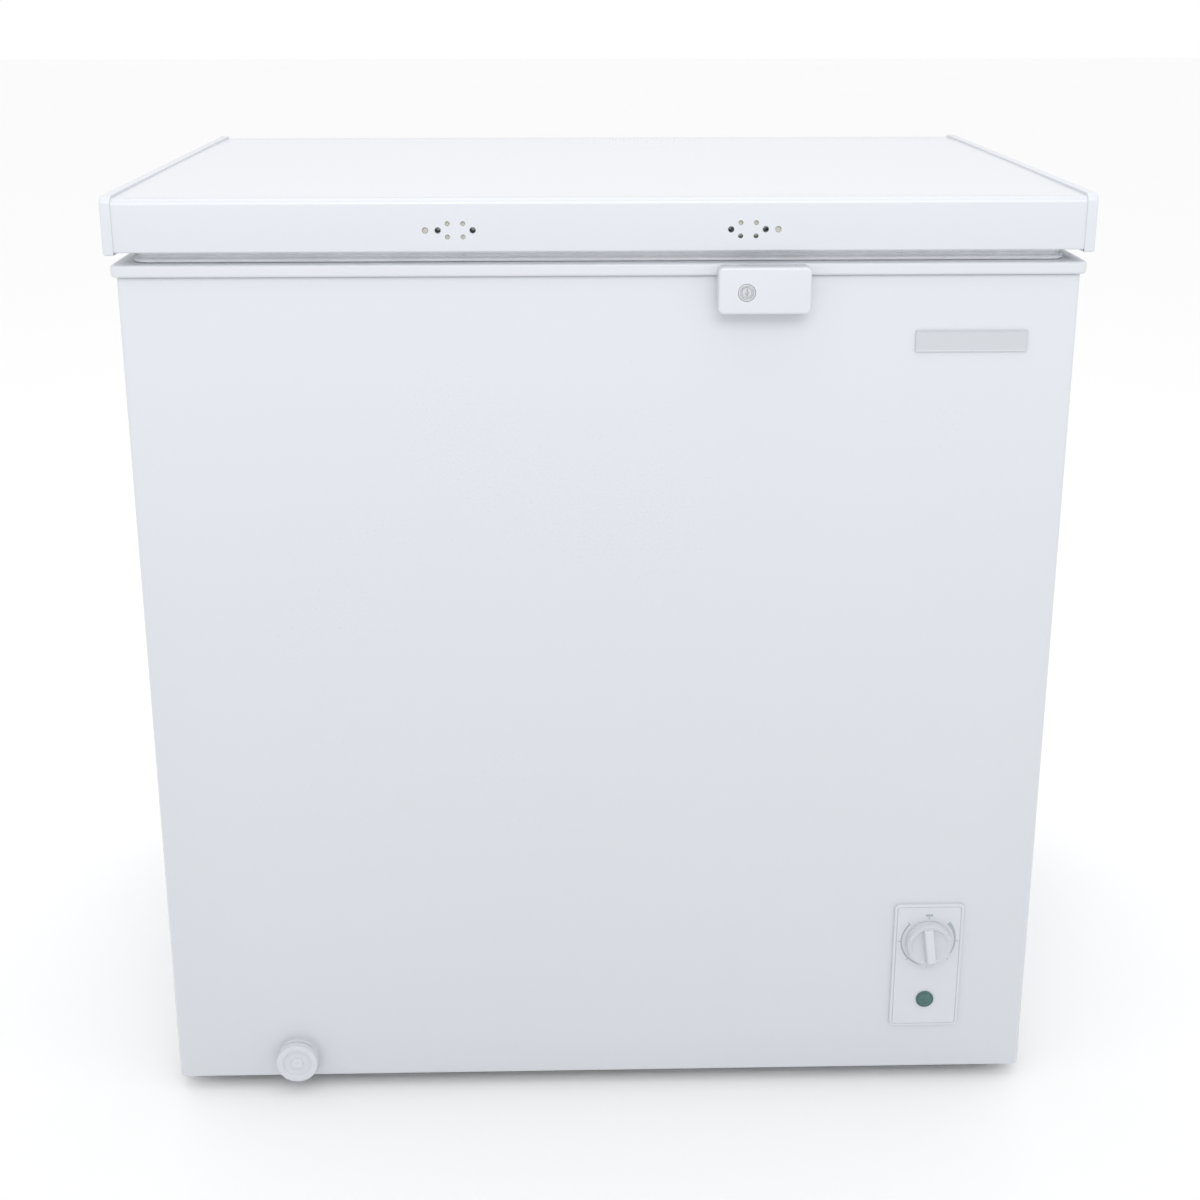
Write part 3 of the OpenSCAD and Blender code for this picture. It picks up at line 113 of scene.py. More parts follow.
HANDLE_HOLES = handle_holes()
DRAIN = centre_of("drain_cap")
OUTLET_Y = centre_of("drain_stopper").y
OUTLET_RADIUS = 10 * MM
KEY = centre_of("lock_cylinder")
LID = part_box("lid_skin")[0]
ARM_LOW, ARM_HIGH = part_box("lock_arm")
LOCK_SLOT = ((KEY.x - 5.5 * MM, ARM_LOW.y - MM, KEY.z + 14.5 * MM),
             (KEY.x + 42 * MM, ARM_HIGH.y + 1.3 * MM, KEY.z + 29.5 * MM))
STRIKE_SLOT = ((KEY.x - 5.7 * MM, LID.y + 0.8 * MM, LID.z - 3.5 * MM),
               (KEY.x + 31 * MM, ARM_HIGH.y + 1.7 * MM, LID.z + 2.5 * MM))


# ---------------------------------------------------------------- sizes and colours


def length(label, says, size):
    """A setting for a size in metres."""
    return bpy.props.FloatProperty(name=label, description=says, default=size, unit="LENGTH")


def hue(label, says, value):
    """A setting for a colour."""
    return bpy.props.FloatVectorProperty(
        name=label, description=says, subtype="COLOR", default=value)


class CabinetSizes(bpy.types.PropertyGroup):
    sheet: length("Sheet", "Thickness of the steel sheet", 0.8 * MM)
    corner: length("Corner", "Radius of the cabinet's upright front corners", 5 * MM)
    fold: length("Fold", "Radius of the folds at the cabinet's top and bottom", 1.6 * MM)
    flange: length("Flange", "Width of the flanges at the cabinet's top and bottom", 14 * MM)
    collar_corner: length("Collar corner", "Radius of the collar's upright corners", 7 * MM)
    collar_round: length("Collar edge", "Radius of the collar's long outer edges", 2.4 * MM)
    tank_corner: length("Tank corner", "Radius of the tank's upright corners", 20 * MM)
    tank_floor: length(
        "Tank floor", "Radius where the tank's walls meet its floor and step", 10 * MM)


class LidSizes(bpy.types.PropertyGroup):
    sheet: length("Sheet", "Thickness of the lid's steel skin", 0.8 * MM)
    edge: length("Edge", "Radius of the lid's long top edges", 6 * MM)
    hem: length("Hem", "Radius of the lid's bottom folds", 1.8 * MM)
    crown: length("Crown", "How far the lid's top swells in the middle", 0.8 * MM)
    cap_corner: length("Cap corner", "Radius of the end caps' top corners", 7 * MM)
    cap_round: length("Cap edge", "Radius round the end caps' outer faces", 4.5 * MM)
    liner_round: length("Liner edge", "Radius round the liner's plug", 7 * MM)


class TrimSizes(bpy.types.PropertyGroup):
    lock_round: length("Lock corner", "Radius of the lock housing's corners", 4.5 * MM)
    panel_corner: length("Panel corner", "Radius of the control panel's corners", 5 * MM)
    panel_groove: length("Panel groove", "Width of the groove round the control panel", 0.9 * MM)
    grip: length("Grip", "Width of the knob's grip ridge", 9.4 * MM)
    lean: bpy.props.FloatProperty(
        name="Lean", description="How far the grip ridge leans from upright",
        default=math.radians(7.5), subtype="ANGLE")
    badge_border: length("Badge border", "Width of the sloping border of the badge", 2.2 * MM)
    soften: length("Softening", "Radius of the broken edges on small pieces", 0.4 * MM)


class FinishColours(bpy.types.PropertyGroup):
    enamel: hue("Enamel", "White enamel of the cabinet and lid", (0.625, 0.645, 0.685))
    plastic: hue("Plastic", "White plastic of the collar, caps and lock", (0.635, 0.655, 0.695))
    liner: hue("Liner", "Inside of the tank and the lid", (0.80, 0.82, 0.84))
    gasket: hue("Gasket", "Soft seal under the lid", (0.88, 0.90, 0.93))
    print_ink: hue("Scale print", "Printed scale round the knob", (0.38, 0.42, 0.46))
    lens: hue("Lens", "Green indicator lens", (0.045, 0.15, 0.14))


class StageSettings(bpy.types.PropertyGroup):
    floor: hue("Floor", "Colour of the floor", (0.97, 0.97, 0.97))
    sky: bpy.props.FloatProperty(
        name="Room light", description="Strength of the even light of the room", default=1.0)
    overhead: bpy.props.FloatProperty(
        name="Overhead", description="Power of the softbox above the lid",
        default=7, subtype="POWER")
    front: bpy.props.FloatProperty(
        name="Front", description="Power of the softbox before the freezer",
        default=3.2, subtype="POWER")
    focal: bpy.props.FloatProperty(
        name="Lens", description="Focal length of the camera in millimetres",
        default=51.26, unit="CAMERA")


# ---------------------------------------------------------------- modelling by hand


def only(piece):
    """Makes one piece the selected and active one."""
    bpy.ops.object.select_all(action="DESELECT")
    piece.select_set(True)
    bpy.context.view_layer.objects.active = piece


@contextmanager
def editing(piece):
    """Edit mode on one piece, with nothing of it selected."""
    only(piece)
    bpy.ops.object.mode_set(mode="EDIT")
    bpy.ops.mesh.select_mode(type="VERT")
    bpy.ops.mesh.select_all(action="DESELECT")
    yield
    bpy.ops.object.mode_set(mode="OBJECT")


def pick(piece, kind, wanted):
    """Selects the verts, edges or faces of the piece in edit mode that pass a test."""
    bpy.ops.mesh.select_mode(type={"verts": "VERT", "edges": "EDGE", "faces": "FACE"}[kind])
    bpy.ops.mesh.select_all(action="DESELECT")
    mesh = bmesh.from_edit_mesh(piece.data)
    found = [item for item in getattr(mesh, kind) if wanted(item)]
    if not found:
        raise RuntimeError(f"{piece.name}: no {kind} to shape")
    for item in found:
        item.select_set(True)
    mesh.select_flush_mode()
    bmesh.update_edit_mesh(piece.data)


def everything():
    """Selects all of the piece in edit mode."""
    bpy.ops.mesh.select_all(action="SELECT")


def extrude(move):
    """Extrudes what is selected, in edit mode."""
    bpy.ops.mesh.extrude_region_move(TRANSFORM_OT_translate={"value": move})


def inset(width, depth=0):
    """Insets the selected face, in edit mode."""
    bpy.ops.mesh.inset(thickness=width, depth=depth)


def middle(item):
    """Middle of an edge or a face."""
    points = [v.co for v in item.verts]
    return sum(points, Vector()) / len(points)


def facing(direction):
    """A test for faces that look along a direction."""
    return lambda face: face.normal.dot(direction) > 0.99


def along(direction):
    """A test for edges that run along a direction."""
    def wanted(edge):
        run = edge.verts[1].co - edge.verts[0].co
        return run.length > 0 and abs(run.normalized().dot(direction)) > 0.999
    return wanted


def near(value, target, slack=0.05 * MM):
    """Whether two places along an axis are the same."""
    return abs(value - target) < slack


def lies_at(axis, place):
    """A test for edges or faces that lie wholly at one place along an axis."""
    return lambda item: all(near(getattr(v.co, axis), place) for v in item.verts)


def rim(*levels):
    """A test for the level edges between one wall and a top or floor at one of the heights."""
    def wanted(edge):
        flat = all(any(near(v.co.z, level) for level in levels) for v in edge.verts)
        walls = [f for f in edge.link_faces if abs(f.normal.z) < 0.5]
        return flat and len(edge.link_faces) == 2 and len(walls) == 1
    return wanted


def turn_out(piece, inside_out):
    """Points an open sheet's faces outwards, where inside_out tells a face that looks inwards."""
    everything()
    bpy.ops.mesh.normals_make_consistent(inside=False)
    if any(inside_out(face) for face in bmesh.from_edit_mesh(piece.data).faces):
        bpy.ops.mesh.flip_normals()


def set_down(piece, name):
    """Names a new piece and puts its place into its mesh."""
    piece.name = name
    piece.data.name = name
    only(piece)
    bpy.ops.object.transform_apply(location=True, rotation=True, scale=True)
    return piece


def new_block(name, low, high):
    """A block between two corners, to be shaped further."""
    low = Vector(low)
    high = Vector(high)
    bpy.ops.mesh.primitive_cube_add(size=1, location=(low + high) / 2, scale=high - low)
    return set_down(bpy.context.object, name)


def new_rod(name, start, end, radius, sides=48):
    """A cylinder between two points, to be shaped further or cut with."""
    start = Vector(start)
    run = Vector(end) - start
    bpy.ops.mesh.primitive_cylinder_add(
        vertices=sides, radius=radius, depth=run.length, location=start + run / 2,
        rotation=run.to_track_quat("Z", "Y").to_euler())
    return set_down(bpy.context.object, name)


def new_line(name, points):
    """A line of edges through points, drawn by extruding one vertex."""
    points = [Vector(p) for p in points]
    bpy.ops.mesh.primitive_plane_add(size=MM, location=points[0])
    piece = set_down(bpy.context.object, name)
    with editing(piece):
        everything()
        bpy.ops.mesh.merge(type="CENTER")
        for before, after in zip(points, points[1:]):
            bpy.ops.mesh.extrude_vertices_move(TRANSFORM_OT_translate={"value": after - before})
    return piece


def arc(centre, radius, start, end, steps=6):
    """Points of an arc in a plane, from one angle to another in degrees."""
    angles = [math.radians(start + (end - start) * i / steps) for i in range(steps + 1)]
    return [(centre[0] + radius * math.cos(a), centre[1] + radius * math.sin(a)) for a in angles]


def turned(name, centre, axis, profile, steps=72):
    """A round piece: a profile of (radius, distance along the axis) in mm, spun about the axis."""
    centre = Vector(centre)
    side = axis.orthogonal().normalized()
    piece = new_line(name, [centre + side * r * MM + axis * a * MM for r, a in profile])
    with editing(piece):
        everything()
        bpy.ops.mesh.spin(steps=steps, angle=2 * math.pi, center=centre, axis=axis)
        weld()
    return piece


def swept_round(name, profile, low, high, radius, height):
    """A closed profile of (inwards, upwards) swept round a rectangle with round corners."""
    start = Vector((low[0] + radius, low[1], height))
    ring = [*profile, profile[0]]
    piece = new_line(name, [start + Vector((0, i, u)) for i, u in ring])
    run = high[0] - low[0] - 2 * radius
    deep = high[1] - low[1] - 2 * radius
    corners = [
        (X * run, (high[0] - radius, low[1] + radius)),
        (Y * deep, (high[0] - radius, high[1] - radius)),
        (-X * run, (low[0] + radius, high[1] - radius)),
        (-Y * deep, (low[0] + radius, low[1] + radius)),
    ]
    with editing(piece):
        everything()
        bpy.ops.mesh.remove_doubles(threshold=0.001 * MM)
        for straight, centre in corners:
            extrude(straight)
            bpy.ops.mesh.spin(
                steps=8, angle=-math.pi / 2, center=(*centre, height), axis=Z)
        weld()
    return piece


def weld(slack=0.002 * MM):
    """Merges doubles and points every face outwards, in edit mode."""
    everything()
    bpy.ops.mesh.remove_doubles(threshold=slack)
    bpy.ops.mesh.normals_make_consistent(inside=False)


def bevel(piece, wanted, width, segments=4):
    """Rounds the edges that pass a test, in edit mode."""
    pick(piece, "edges", wanted)
    bpy.ops.mesh.bevel(offset=width, segments=segments, affect="EDGES", clamp_overlap=True)


def apply(piece, modifier):
    """Makes a modifier part of the mesh."""
    only(piece)
    bpy.ops.object.modifier_apply(modifier=modifier.name)


def thicken(piece, thickness, offset=-1):
    """Gives an open sheet its thickness."""
    wall = piece.modifiers.new("Wall", "SOLIDIFY")
    wall.thickness = thickness
    wall.offset = offset
    wall.use_even_offset = True
    apply(piece, wall)


def cut(piece, *tools, operation="DIFFERENCE"):
    """Cuts a piece with others, which are used up."""
    for tool in tools:
        boolean = piece.modifiers.new("Cut", "BOOLEAN")
        boolean.operation = operation
        boolean.object = tool
        apply(piece, boolean)
        bpy.data.objects.remove(tool)


def soften(piece, width, segments=2, angle=40):
    """Breaks the sharp edges of a piece."""
    edges = piece.modifiers.new("Soften", "BEVEL")
    edges.width = width
    edges.segments = segments
    edges.limit_method = "ANGLE"
    edges.angle_limit = math.radians(angle)
    apply(piece, edges)


def join(piece, *others):
    """Joins other pieces into one."""
    only(piece)
    for other in others:
        other.select_set(True)
    bpy.ops.object.join()


def copy_of(node, name):
    """A new piece that starts as a merged copy of a frame node, which itself is left alone."""
    piece = bpy.data.objects.new(name, frame["nodes"][node].data.copy())
    bpy.context.scene.collection.objects.link(piece)
    piece.data.name = name
    with editing(piece):
        everything()
        bpy.ops.mesh.remove_doubles(threshold=0.005 * MM)
        bpy.ops.mesh.dissolve_limited(angle_limit=math.radians(0.5))
    return piece


def repeat(piece, moves):
    """Joins copies of a piece, each moved by one of the moves, into it."""
    copies = []
    for move in moves:
        only(piece)
        bpy.ops.object.duplicate_move(TRANSFORM_OT_translate={"value": move})
        copies.append(bpy.context.object)
    join(piece, *copies)


def finish(piece, slot, *nodes, angle=35):
    """Smooths a finished piece, gives it its finish and lets it stand for its nodes."""
    only(piece)
    bpy.ops.object.shade_smooth_by_angle(angle=math.radians(angle))
    piece.data.materials.clear()
    piece.data.materials.append(finish_of(slot))
    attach(piece, frame["nodes"][nodes[0]]["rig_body"])
    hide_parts(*nodes)


# ---------------------------------------------------------------- shader maths and finishes


class Wire:
    """One output of a shader node, so that shader maths is written as expressions."""

    def __init__(self, shader, socket):
        self.shader = shader
        self.socket = socket

    def maths(self, operation, *values):
        return self.shader.node("Math", {"operation": operation}, dict(enumerate(values)))

    def __add__(self, other):
        return self.maths("ADD", self, other)

    __radd__ = __add__

    def __sub__(self, other):
        return self.maths("SUBTRACT", self, other)

    def __rsub__(self, other):
        return self.maths("SUBTRACT", other, self)

    def __mul__(self, other):
        return self.maths("MULTIPLY", self, other)

    __rmul__ = __mul__

    def __truediv__(self, other):
        return self.maths("DIVIDE", self, other)

    def __rtruediv__(self, other):
        return self.maths("DIVIDE", other, self)

    def __pow__(self, other):
        return self.maths("POWER", self, other)

    def __abs__(self):
        return self.maths("ABSOLUTE", self)

    def __gt__(self, other):
        return self.maths("GREATER_THAN", self, other)

    def __lt__(self, other):
        return self.maths("LESS_THAN", self, other)

    def either(self, other):
        return self.maths("MAXIMUM", self, other)


class Shader:
    """A material built from nodes round one Principled shader."""

    def __init__(self, name, **constants):
        self.material = bpy.data.materials.new(name)
        self.material.use_nodes = True
        self.tree = self.material.node_tree
        self.surface = self.tree.nodes["Principled BSDF"]
        for socket, value in constants.items():
            self.surface.inputs[socket.replace("_", " ")].default_value = value
        self.place = self.node("TexCoord", output="Object")

    def node(self, kind, settings=None, values=None, output=0):
        """Adds one node: its settings first, then the values or wires of its sockets."""
        made = self.tree.nodes.new("ShaderNode" + kind)
        for setting, value in (settings or {}).items():
            setattr(made, setting, value)
        for socket, value in (values or {}).items():
            self.feed(made.inputs[socket], value)
        return Wire(self, made.outputs[output])

    def feed(self, socket, value):
        """Links a wire or sets a value on any socket."""
        if isinstance(value, Wire):
            self.tree.links.new(value.socket, socket)
        else:
            socket.default_value = value

    def to(self, socket, value):
        """Links a wire or sets a value on the Principled shader."""
        self.feed(self.surface.inputs[socket], value)

    def noise(self, scale, detail=2.0, stretch=(1, 1, 1)):
        """Noise from 0 to 1, with scale waves to the metre."""
        place = self.node("Mapping", None, {"Vector": self.place, "Scale": stretch})
        return self.node("TexNoise", None, {"Vector": place, "Scale": scale, "Detail": detail})

    def blend(self, factor, first, second):
        """Mixes two colours."""
        colours = {0: factor, 6: rgba(first), 7: rgba(second)}
        return self.node("Mix", {"data_type": "RGBA"}, colours, output=2)

    def bump(self, height):
        """Turns a height in millimetres into a normal."""
        return self.node("Bump", None, {"Strength": 1.0, "Distance": MM, "Height": height})


def rgba(colour):
    """A colour as a socket takes it."""
    return colour if isinstance(colour, Wire) else (*colour[:3], 1.0)


def shade(colour, factor):
    """A colour made darker or lighter."""
    return tuple(c * factor for c in colour[:3])


def enamel(name, colour, rough=0.30):
    """Baked enamel on sheet steel: a faint orange peel on gently wavy sheet."""
    shader = Shader(name, Coat_Weight=0.35, Coat_Roughness=0.12)
    cloud = shader.noise(2.2, 3)
    peel = shader.noise(420, 2)
    speck = shader.noise(2600, 1)
    shader.to("Base Color", shader.blend(cloud, shade(colour, 0.985), shade(colour, 1.012)))
    shader.to("Roughness", rough + 0.10 * (cloud - 0.5) + 0.08 * (peel - 0.5))
    wave = shader.noise(5, 1) * 0.10
    shader.to("Normal", shader.bump(wave + peel * 0.006 + speck * 0.0015))
    return shader


def moulded(name, colour, rough=0.42, grain=0.010, coat=0.0):
    """Moulded plastic with a fine spark-eroded grain and faint flow marks."""
    shader = Shader(name, Coat_Weight=coat)
    flow = shader.noise(14, 3, (1, 0.4, 1))
    pits = shader.noise(1500, 2)
    shader.to("Base Color", shader.blend(flow, shade(colour, 0.975), shade(colour, 1.015)))
    shader.to("Roughness", rough + 0.12 * (pits - 0.5) + 0.08 * (flow - 0.5))
    shader.to("Normal", shader.bump(pits * grain))
    return shader


def brushed(name, colour, rough=0.34, stretch=(1, 14, 14)):
    """Zinc or steel with drawing lines along the sheet and a cloudy tarnish."""
    shader = Shader(name, Metallic=1.0)
    lines = shader.noise(160, 3, stretch)
    tarnish = shader.noise(30, 4)
    shader.to("Base Color", shader.blend(tarnish, shade(colour, 0.82), shade(colour, 1.08)))
    shader.to("Roughness", rough + 0.22 * (lines - 0.5) + 0.16 * (tarnish - 0.5))
    shader.to("Normal", shader.bump(lines * 0.012))
    return shader


def copper(name, colour):
    """Drawn copper tube, darkened in patches by handling and brazing."""
    shader = Shader(name, Metallic=1.0)
    patches = shader.noise(22, 4)
    fine = shader.noise(700, 2)
    shader.to("Base Color", shader.blend(patches, shade(colour, 0.55), colour))
    shader.to("Roughness", 0.26 + 0.30 * patches + 0.06 * fine)
    shader.to("Normal", shader.bump(fine * 0.008))
    return shader


def rubber(name, colour, rough=0.62):
    """Soft rubber or vinyl: matt, with a dusty bloom."""
    shader = Shader(name)
    bloom = shader.noise(40, 4)
    skin = shader.noise(1100, 2)
    shader.to("Base Color", shader.blend(bloom, shade(colour, 0.88), shade(colour, 1.06)))
    shader.to("Roughness", rough + 0.18 * (bloom - 0.5))
    shader.to("Normal", shader.bump(skin * 0.02))
    return shader


def foam(name, colour):
    """Rigid foam with open cells and a darker skin in places."""
    shader = Shader(name)
    cells = shader.node("TexVoronoi", {"feature": "F1"}, {"Vector": shader.place, "Scale": 650.0})
    skin = shader.noise(18, 4)
    shader.to("Base Color", shader.blend(skin, shade(colour, 0.78), colour))
    shader.to("Roughness", 0.85 + 0.1 * (skin - 0.5))
    shader.to("Normal", shader.bump(cells * 0.35))
    return shader


def lens_glass(name, colour):
    """Tinted clear plastic that looks dark while its lamp is off."""
    shader = Shader(name, Coat_Weight=0.6, Coat_Roughness=0.06, Transmission_Weight=0.15)
    depth = shader.noise(260, 2)
    shader.to("Base Color", shader.blend(depth, shade(colour, 0.7), shade(colour, 1.25)))
    shader.to("Roughness", 0.16 + 0.08 * depth)
    shader.to("Normal", shader.bump(depth * 0.02))
    return shader


def printed_panel(name, colour, ink):
    """Panel plastic with the thermostat's printed scale round the knob's axis."""
    shader = moulded(name, colour, rough=0.36, grain=0.006)
    centre = centre_of("thermostat_knob")
    parts = shader.node("SeparateXYZ", None, {0: shader.place})
    across = (parts - centre.x) / MM
    upright = Wire(shader, parts.socket.node.outputs["Z"])
    up = (upright - centre.z) / MM
    reach = (across * across + up * up) ** 0.5
    turn = across.maths("ARCTAN2", across, up) * (180 / math.pi)
    ring = 25.2                      # radius of the scale's line, in millimetres
    gap = 44                         # the line stays this far from the top mark, in degrees
    thin = 0.75
    tick_width = 0.45
    tick_length = 3.0
    mark_up = 27.0
    dot_up = 24.4
    line = (abs(reach - ring) < thin) * (abs(turn) > gap)
    wedge_from = 46
    wedge_to = 92
    swell = 2.6 * (wedge_to - turn) / (wedge_to - wedge_from)
    in_wedge = (turn > wedge_from) * (turn < wedge_to)
    wedge = in_wedge * (reach > ring - thin) * (reach < swell + ring + 0.4)
    step = 45
    slant = abs(turn / step - (turn / step).maths("ROUND", turn / step)) * (step * math.pi / 180)
    beyond = (reach > ring) * (reach < ring + tick_length)
    tick = (slant * reach < tick_width) * beyond * (abs(turn) > gap)
    off_mark = (abs(across) < 3.4) * (abs(up - mark_up) < 1.2)
    off_dot = (abs(across) < 0.7) * (abs(up - dot_up) < 0.8)
    mark = line.either(wedge).either(tick).either(off_mark).either(off_dot)
    shader.to("Base Color", shader.blend(mark, colour, ink))
    return shader


def finish_of(slot):
    """The material of one of the record's slots, made when it is first asked for."""
    if slot in FINISHES:
        return FINISHES[slot]
    hues = bpy.context.scene.freezer_colours
    zinc = (0.60, 0.61, 0.63)
    white = tuple(hues.plastic)
    recipes = {
        "white_enamel": lambda: enamel(slot, tuple(hues.enamel)),
        "rear_sheet": lambda: enamel(slot, shade(tuple(hues.enamel), 0.86), 0.42),
        "galvanised_steel": lambda: brushed(slot, (0.50, 0.52, 0.54), 0.42, (1, 1, 1)),
        "liner_sheet": lambda: enamel(slot, tuple(hues.liner), 0.36),
        "liner_plastic": lambda: moulded(slot, tuple(hues.liner), 0.34, 0.006),
        "insulation_foam": lambda: foam(slot, (0.66, 0.65, 0.60)),
        "copper_tube": lambda: copper(slot, (0.78, 0.42, 0.26)),
        "white_plastic": lambda: moulded(slot, white, 0.36, 0.006),
        "control_plastic": lambda: moulded(slot, white, 0.30, 0.004, 0.2),
        "inner_plastic": lambda: moulded(slot, (0.62, 0.63, 0.62)),
        "black_enamel": lambda: enamel(slot, (0.018, 0.018, 0.02), 0.36),
        "black_rubber": lambda: rubber(slot, (0.022, 0.022, 0.024)),
        "black_plastic": lambda: moulded(slot, (0.028, 0.028, 0.03)),
        "zinc_screws": lambda: brushed(slot, zinc, 0.30, (1, 1, 1)),
        "zinc_steel": lambda: brushed(slot, zinc),
        "spring_steel": lambda: brushed(slot, (0.26, 0.27, 0.28), 0.30),
        "lock_metal": lambda: brushed(slot, (0.72, 0.73, 0.76), 0.26, (8, 1, 8)),
        "green_lens": lambda: lens_glass(slot, tuple(hues.lens)),
        "gasket_rubber": lambda: rubber(slot, tuple(hues.gasket), 0.5),
        "coated_wire": lambda: moulded(slot, (0.80, 0.81, 0.82), 0.26, 0.004, 0.5),
    }
    FINISHES[slot] = recipes[slot]().material
    return FINISHES[slot]


# ---------------------------------------------------------------- pieces


class FREEZER_OT_finishes(bpy.types.Operator):
    """Gives every frame node the finish of its slot"""
    bl_idname = "freezer.finishes"
    bl_label = "Finishes"

    def execute(self, context):
        for name, node in frame["nodes"].items():
            node.data.materials.clear()
            node.data.materials.append(finish_of(SLOT_OF[name]))
        return {"FINISHED"}


class FREEZER_OT_cabinet_shell(bpy.types.Operator):
    """Bends the steel wrapper of the cabinet, with its flanges, folds and openings"""
    bl_idname = "freezer.cabinet_shell"
    bl_label = "Cabinet shell"

    def execute(self, context):
        sizes = context.scene.freezer_cabinet
        low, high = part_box("outer_shell")
        shell = new_block("cabinet_shell", low, high)
        with editing(shell):
            pick(shell, "faces", lambda f: abs(f.normal.z) > 0.99)
            inset(sizes.flange)
            bpy.ops.mesh.delete(type="FACE")
            behind = high.y - sizes.flange
            pick(shell, "faces", lambda f: middle(f).y > behind)
            bpy.ops.mesh.delete(type="FACE")
            upright = along(Z)
            bevel(shell, lambda e: upright(e) and near(middle(e).y, low.y), sizes.corner, 6)
            bevel(shell, rim(low.z, high.z), sizes.fold, 3)
        thicken(shell, sizes.sheet)
        panel_low, panel_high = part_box("control_panel")
        vent_low, vent_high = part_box("side_vent")
        tube_low, tube_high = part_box("drain_tube")
        lip = 8 * MM
        margin = 9 * MM
        through = Y * margin
        hole = Vector((DRAIN.x, low.y, DRAIN.z))
        cut(shell,
            new_block("panel_opening",
                      (panel_low.x + margin, low.y - margin, panel_low.z + margin),
                      (panel_high.x - margin, low.y + margin, panel_high.z - margin)),
            new_block("vent_opening",
                      (high.x - margin, vent_low.y + lip, vent_low.z + lip),
                      (high.x + margin, vent_high.y - lip, vent_high.z - lip)),
            new_rod("drain_opening", hole - through, hole + through, (tube_high.x - tube_low.x) / 2))
        finish(shell, "white_enamel", "outer_shell")
        return {"FINISHED"}


class FREEZER_OT_collar(bpy.types.Operator):
    """Moulds the collar round the tank's mouth"""
    bl_idname = "freezer.collar"
    bl_label = "Collar"

    def execute(self, context):
        sizes = context.scene.freezer_cabinet
        low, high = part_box("top_collar")
        tank_low, tank_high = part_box("inner_liner")
        wall = 1 * MM
        past = 5 * MM
        collar = new_block("collar", low, high)
        mouth = new_block("mouth", (tank_low.x + wall, tank_low.y + wall, low.z - past),
                          (tank_high.x - wall, tank_high.y - wall, high.z + past))
        with editing(mouth):
            bevel(mouth, along(Z), sizes.tank_corner, 10)
        with editing(collar):
            bevel(collar, along(Z), sizes.collar_corner, 6)
            bevel(collar, lambda e: near(middle(e).z, low.z) or near(middle(e).z, high.z),
                  sizes.collar_round, 4)
        cut(collar, mouth)
        top_edge = rim(high.z)
        with editing(collar):
            bevel(collar, lambda e: top_edge(e) and self.is_inside(middle(e), tank_low, tank_high),
                  2 * MM, 3)
        finish(collar, "white_plastic", "top_collar")
        return {"FINISHED"}

    @staticmethod
    def is_inside(at, low, high):
        return low.x - MM < at.x < high.x + MM and low.y - MM < at.y < high.y + MM


class FREEZER_OT_tank(bpy.types.Operator):
    """Forms the tank's liner with its step over the machine bay"""
    bl_idname = "freezer.tank"
    bl_label = "Tank"

    def execute(self, context):
        sizes = context.scene.freezer_cabinet
        low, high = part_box("inner_liner")
        wall = 1 * MM
        bay_low, bay_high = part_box("bay_partition")
        sides = Vector((wall, wall, 0))
        foam_beside = 51.2 * MM
        foam_above = 55.2 * MM
        floor = low.z + wall
        step_x = bay_low.x - foam_beside
        step_z = bay_high.z + foam_above
        tank = new_block("tank", low + sides + Z * wall, high - sides)
        cut(tank, new_block("step", (step_x, low.y - MM, low.z - MM),
                            (high.x + MM, high.y + MM, step_z)))
        with editing(tank):
            bevel(tank, along(Z), sizes.tank_corner, 10)
            pick(tank, "faces", lambda f: f.normal.z > 0.99 and near(middle(f).z, high.z))
            bpy.ops.mesh.delete(type="FACE")
            bevel(tank, rim(floor, step_z), sizes.tank_floor, 5)
            everything()
            bpy.ops.mesh.flip_normals()
        thicken(tank, wall)
        past = 4 * MM
        cut(tank, new_rod("outlet", (DRAIN.x, OUTLET_Y, low.z - past),
                          (DRAIN.x, OUTLET_Y, floor + past), OUTLET_RADIUS))
        finish(tank, "liner_sheet", "inner_liner")
        return {"FINISHED"}


class FREEZER_OT_lid_skin(bpy.types.Operator):
    """Bends the lid's steel skin and pierces the holes for a handle"""
    bl_idname = "freezer.lid_skin"
    bl_label = "Lid skin"

    def execute(self, context):
        sizes = context.scene.freezer_lid
        low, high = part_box("lid_skin")
        top = high.z - sizes.crown
        flange = 14 * MM
        through = 3 * MM
        panels = 8
        round_top = sizes.edge
        hem = sizes.hem
        front = arc((low.y + hem, low.z + hem), hem, 270, 180, 4)
        front += arc((low.y + round_top, top - round_top), round_top, 180, 90, 8)
        middle_y = (low.y + high.y) / 2
        reach = (high.y - low.y) / 2 - round_top
        crown = []
        for i in range(1, 8):
            share = -1 + i / 4
            crown.append((middle_y + share * reach, top + sizes.crown * (1 - share ** 2)))
        back = arc((high.y - round_top, top - round_top), round_top, 90, 0, 8)
        back += arc((high.y - hem, low.z + hem), hem, 0, -90, 4)
        outline = [(low.y + flange, low.z), *front, *crown, *back, (high.y - flange, low.z)]
        skin = new_line("lid_skin_panel", [(low.x, y, z) for y, z in outline])
        with editing(skin):
            everything()
            for i in range(panels):
                extrude(X * (high.x - low.x) / panels)
            turn_out(skin, lambda f: near(middle(f).y, low.y) and f.normal.y > 0.5)
        thicken(skin, sizes.sheet)
        cut(skin, new_block("strike_slot", *STRIKE_SLOT),
            *[new_rod("hole", (x, low.y - through, z), (x, low.y + through, z), r, 24)
              for x, z, r in HANDLE_HOLES])
        finish(skin, "white_enamel", "lid_skin", angle=28)
        return {"FINISHED"}


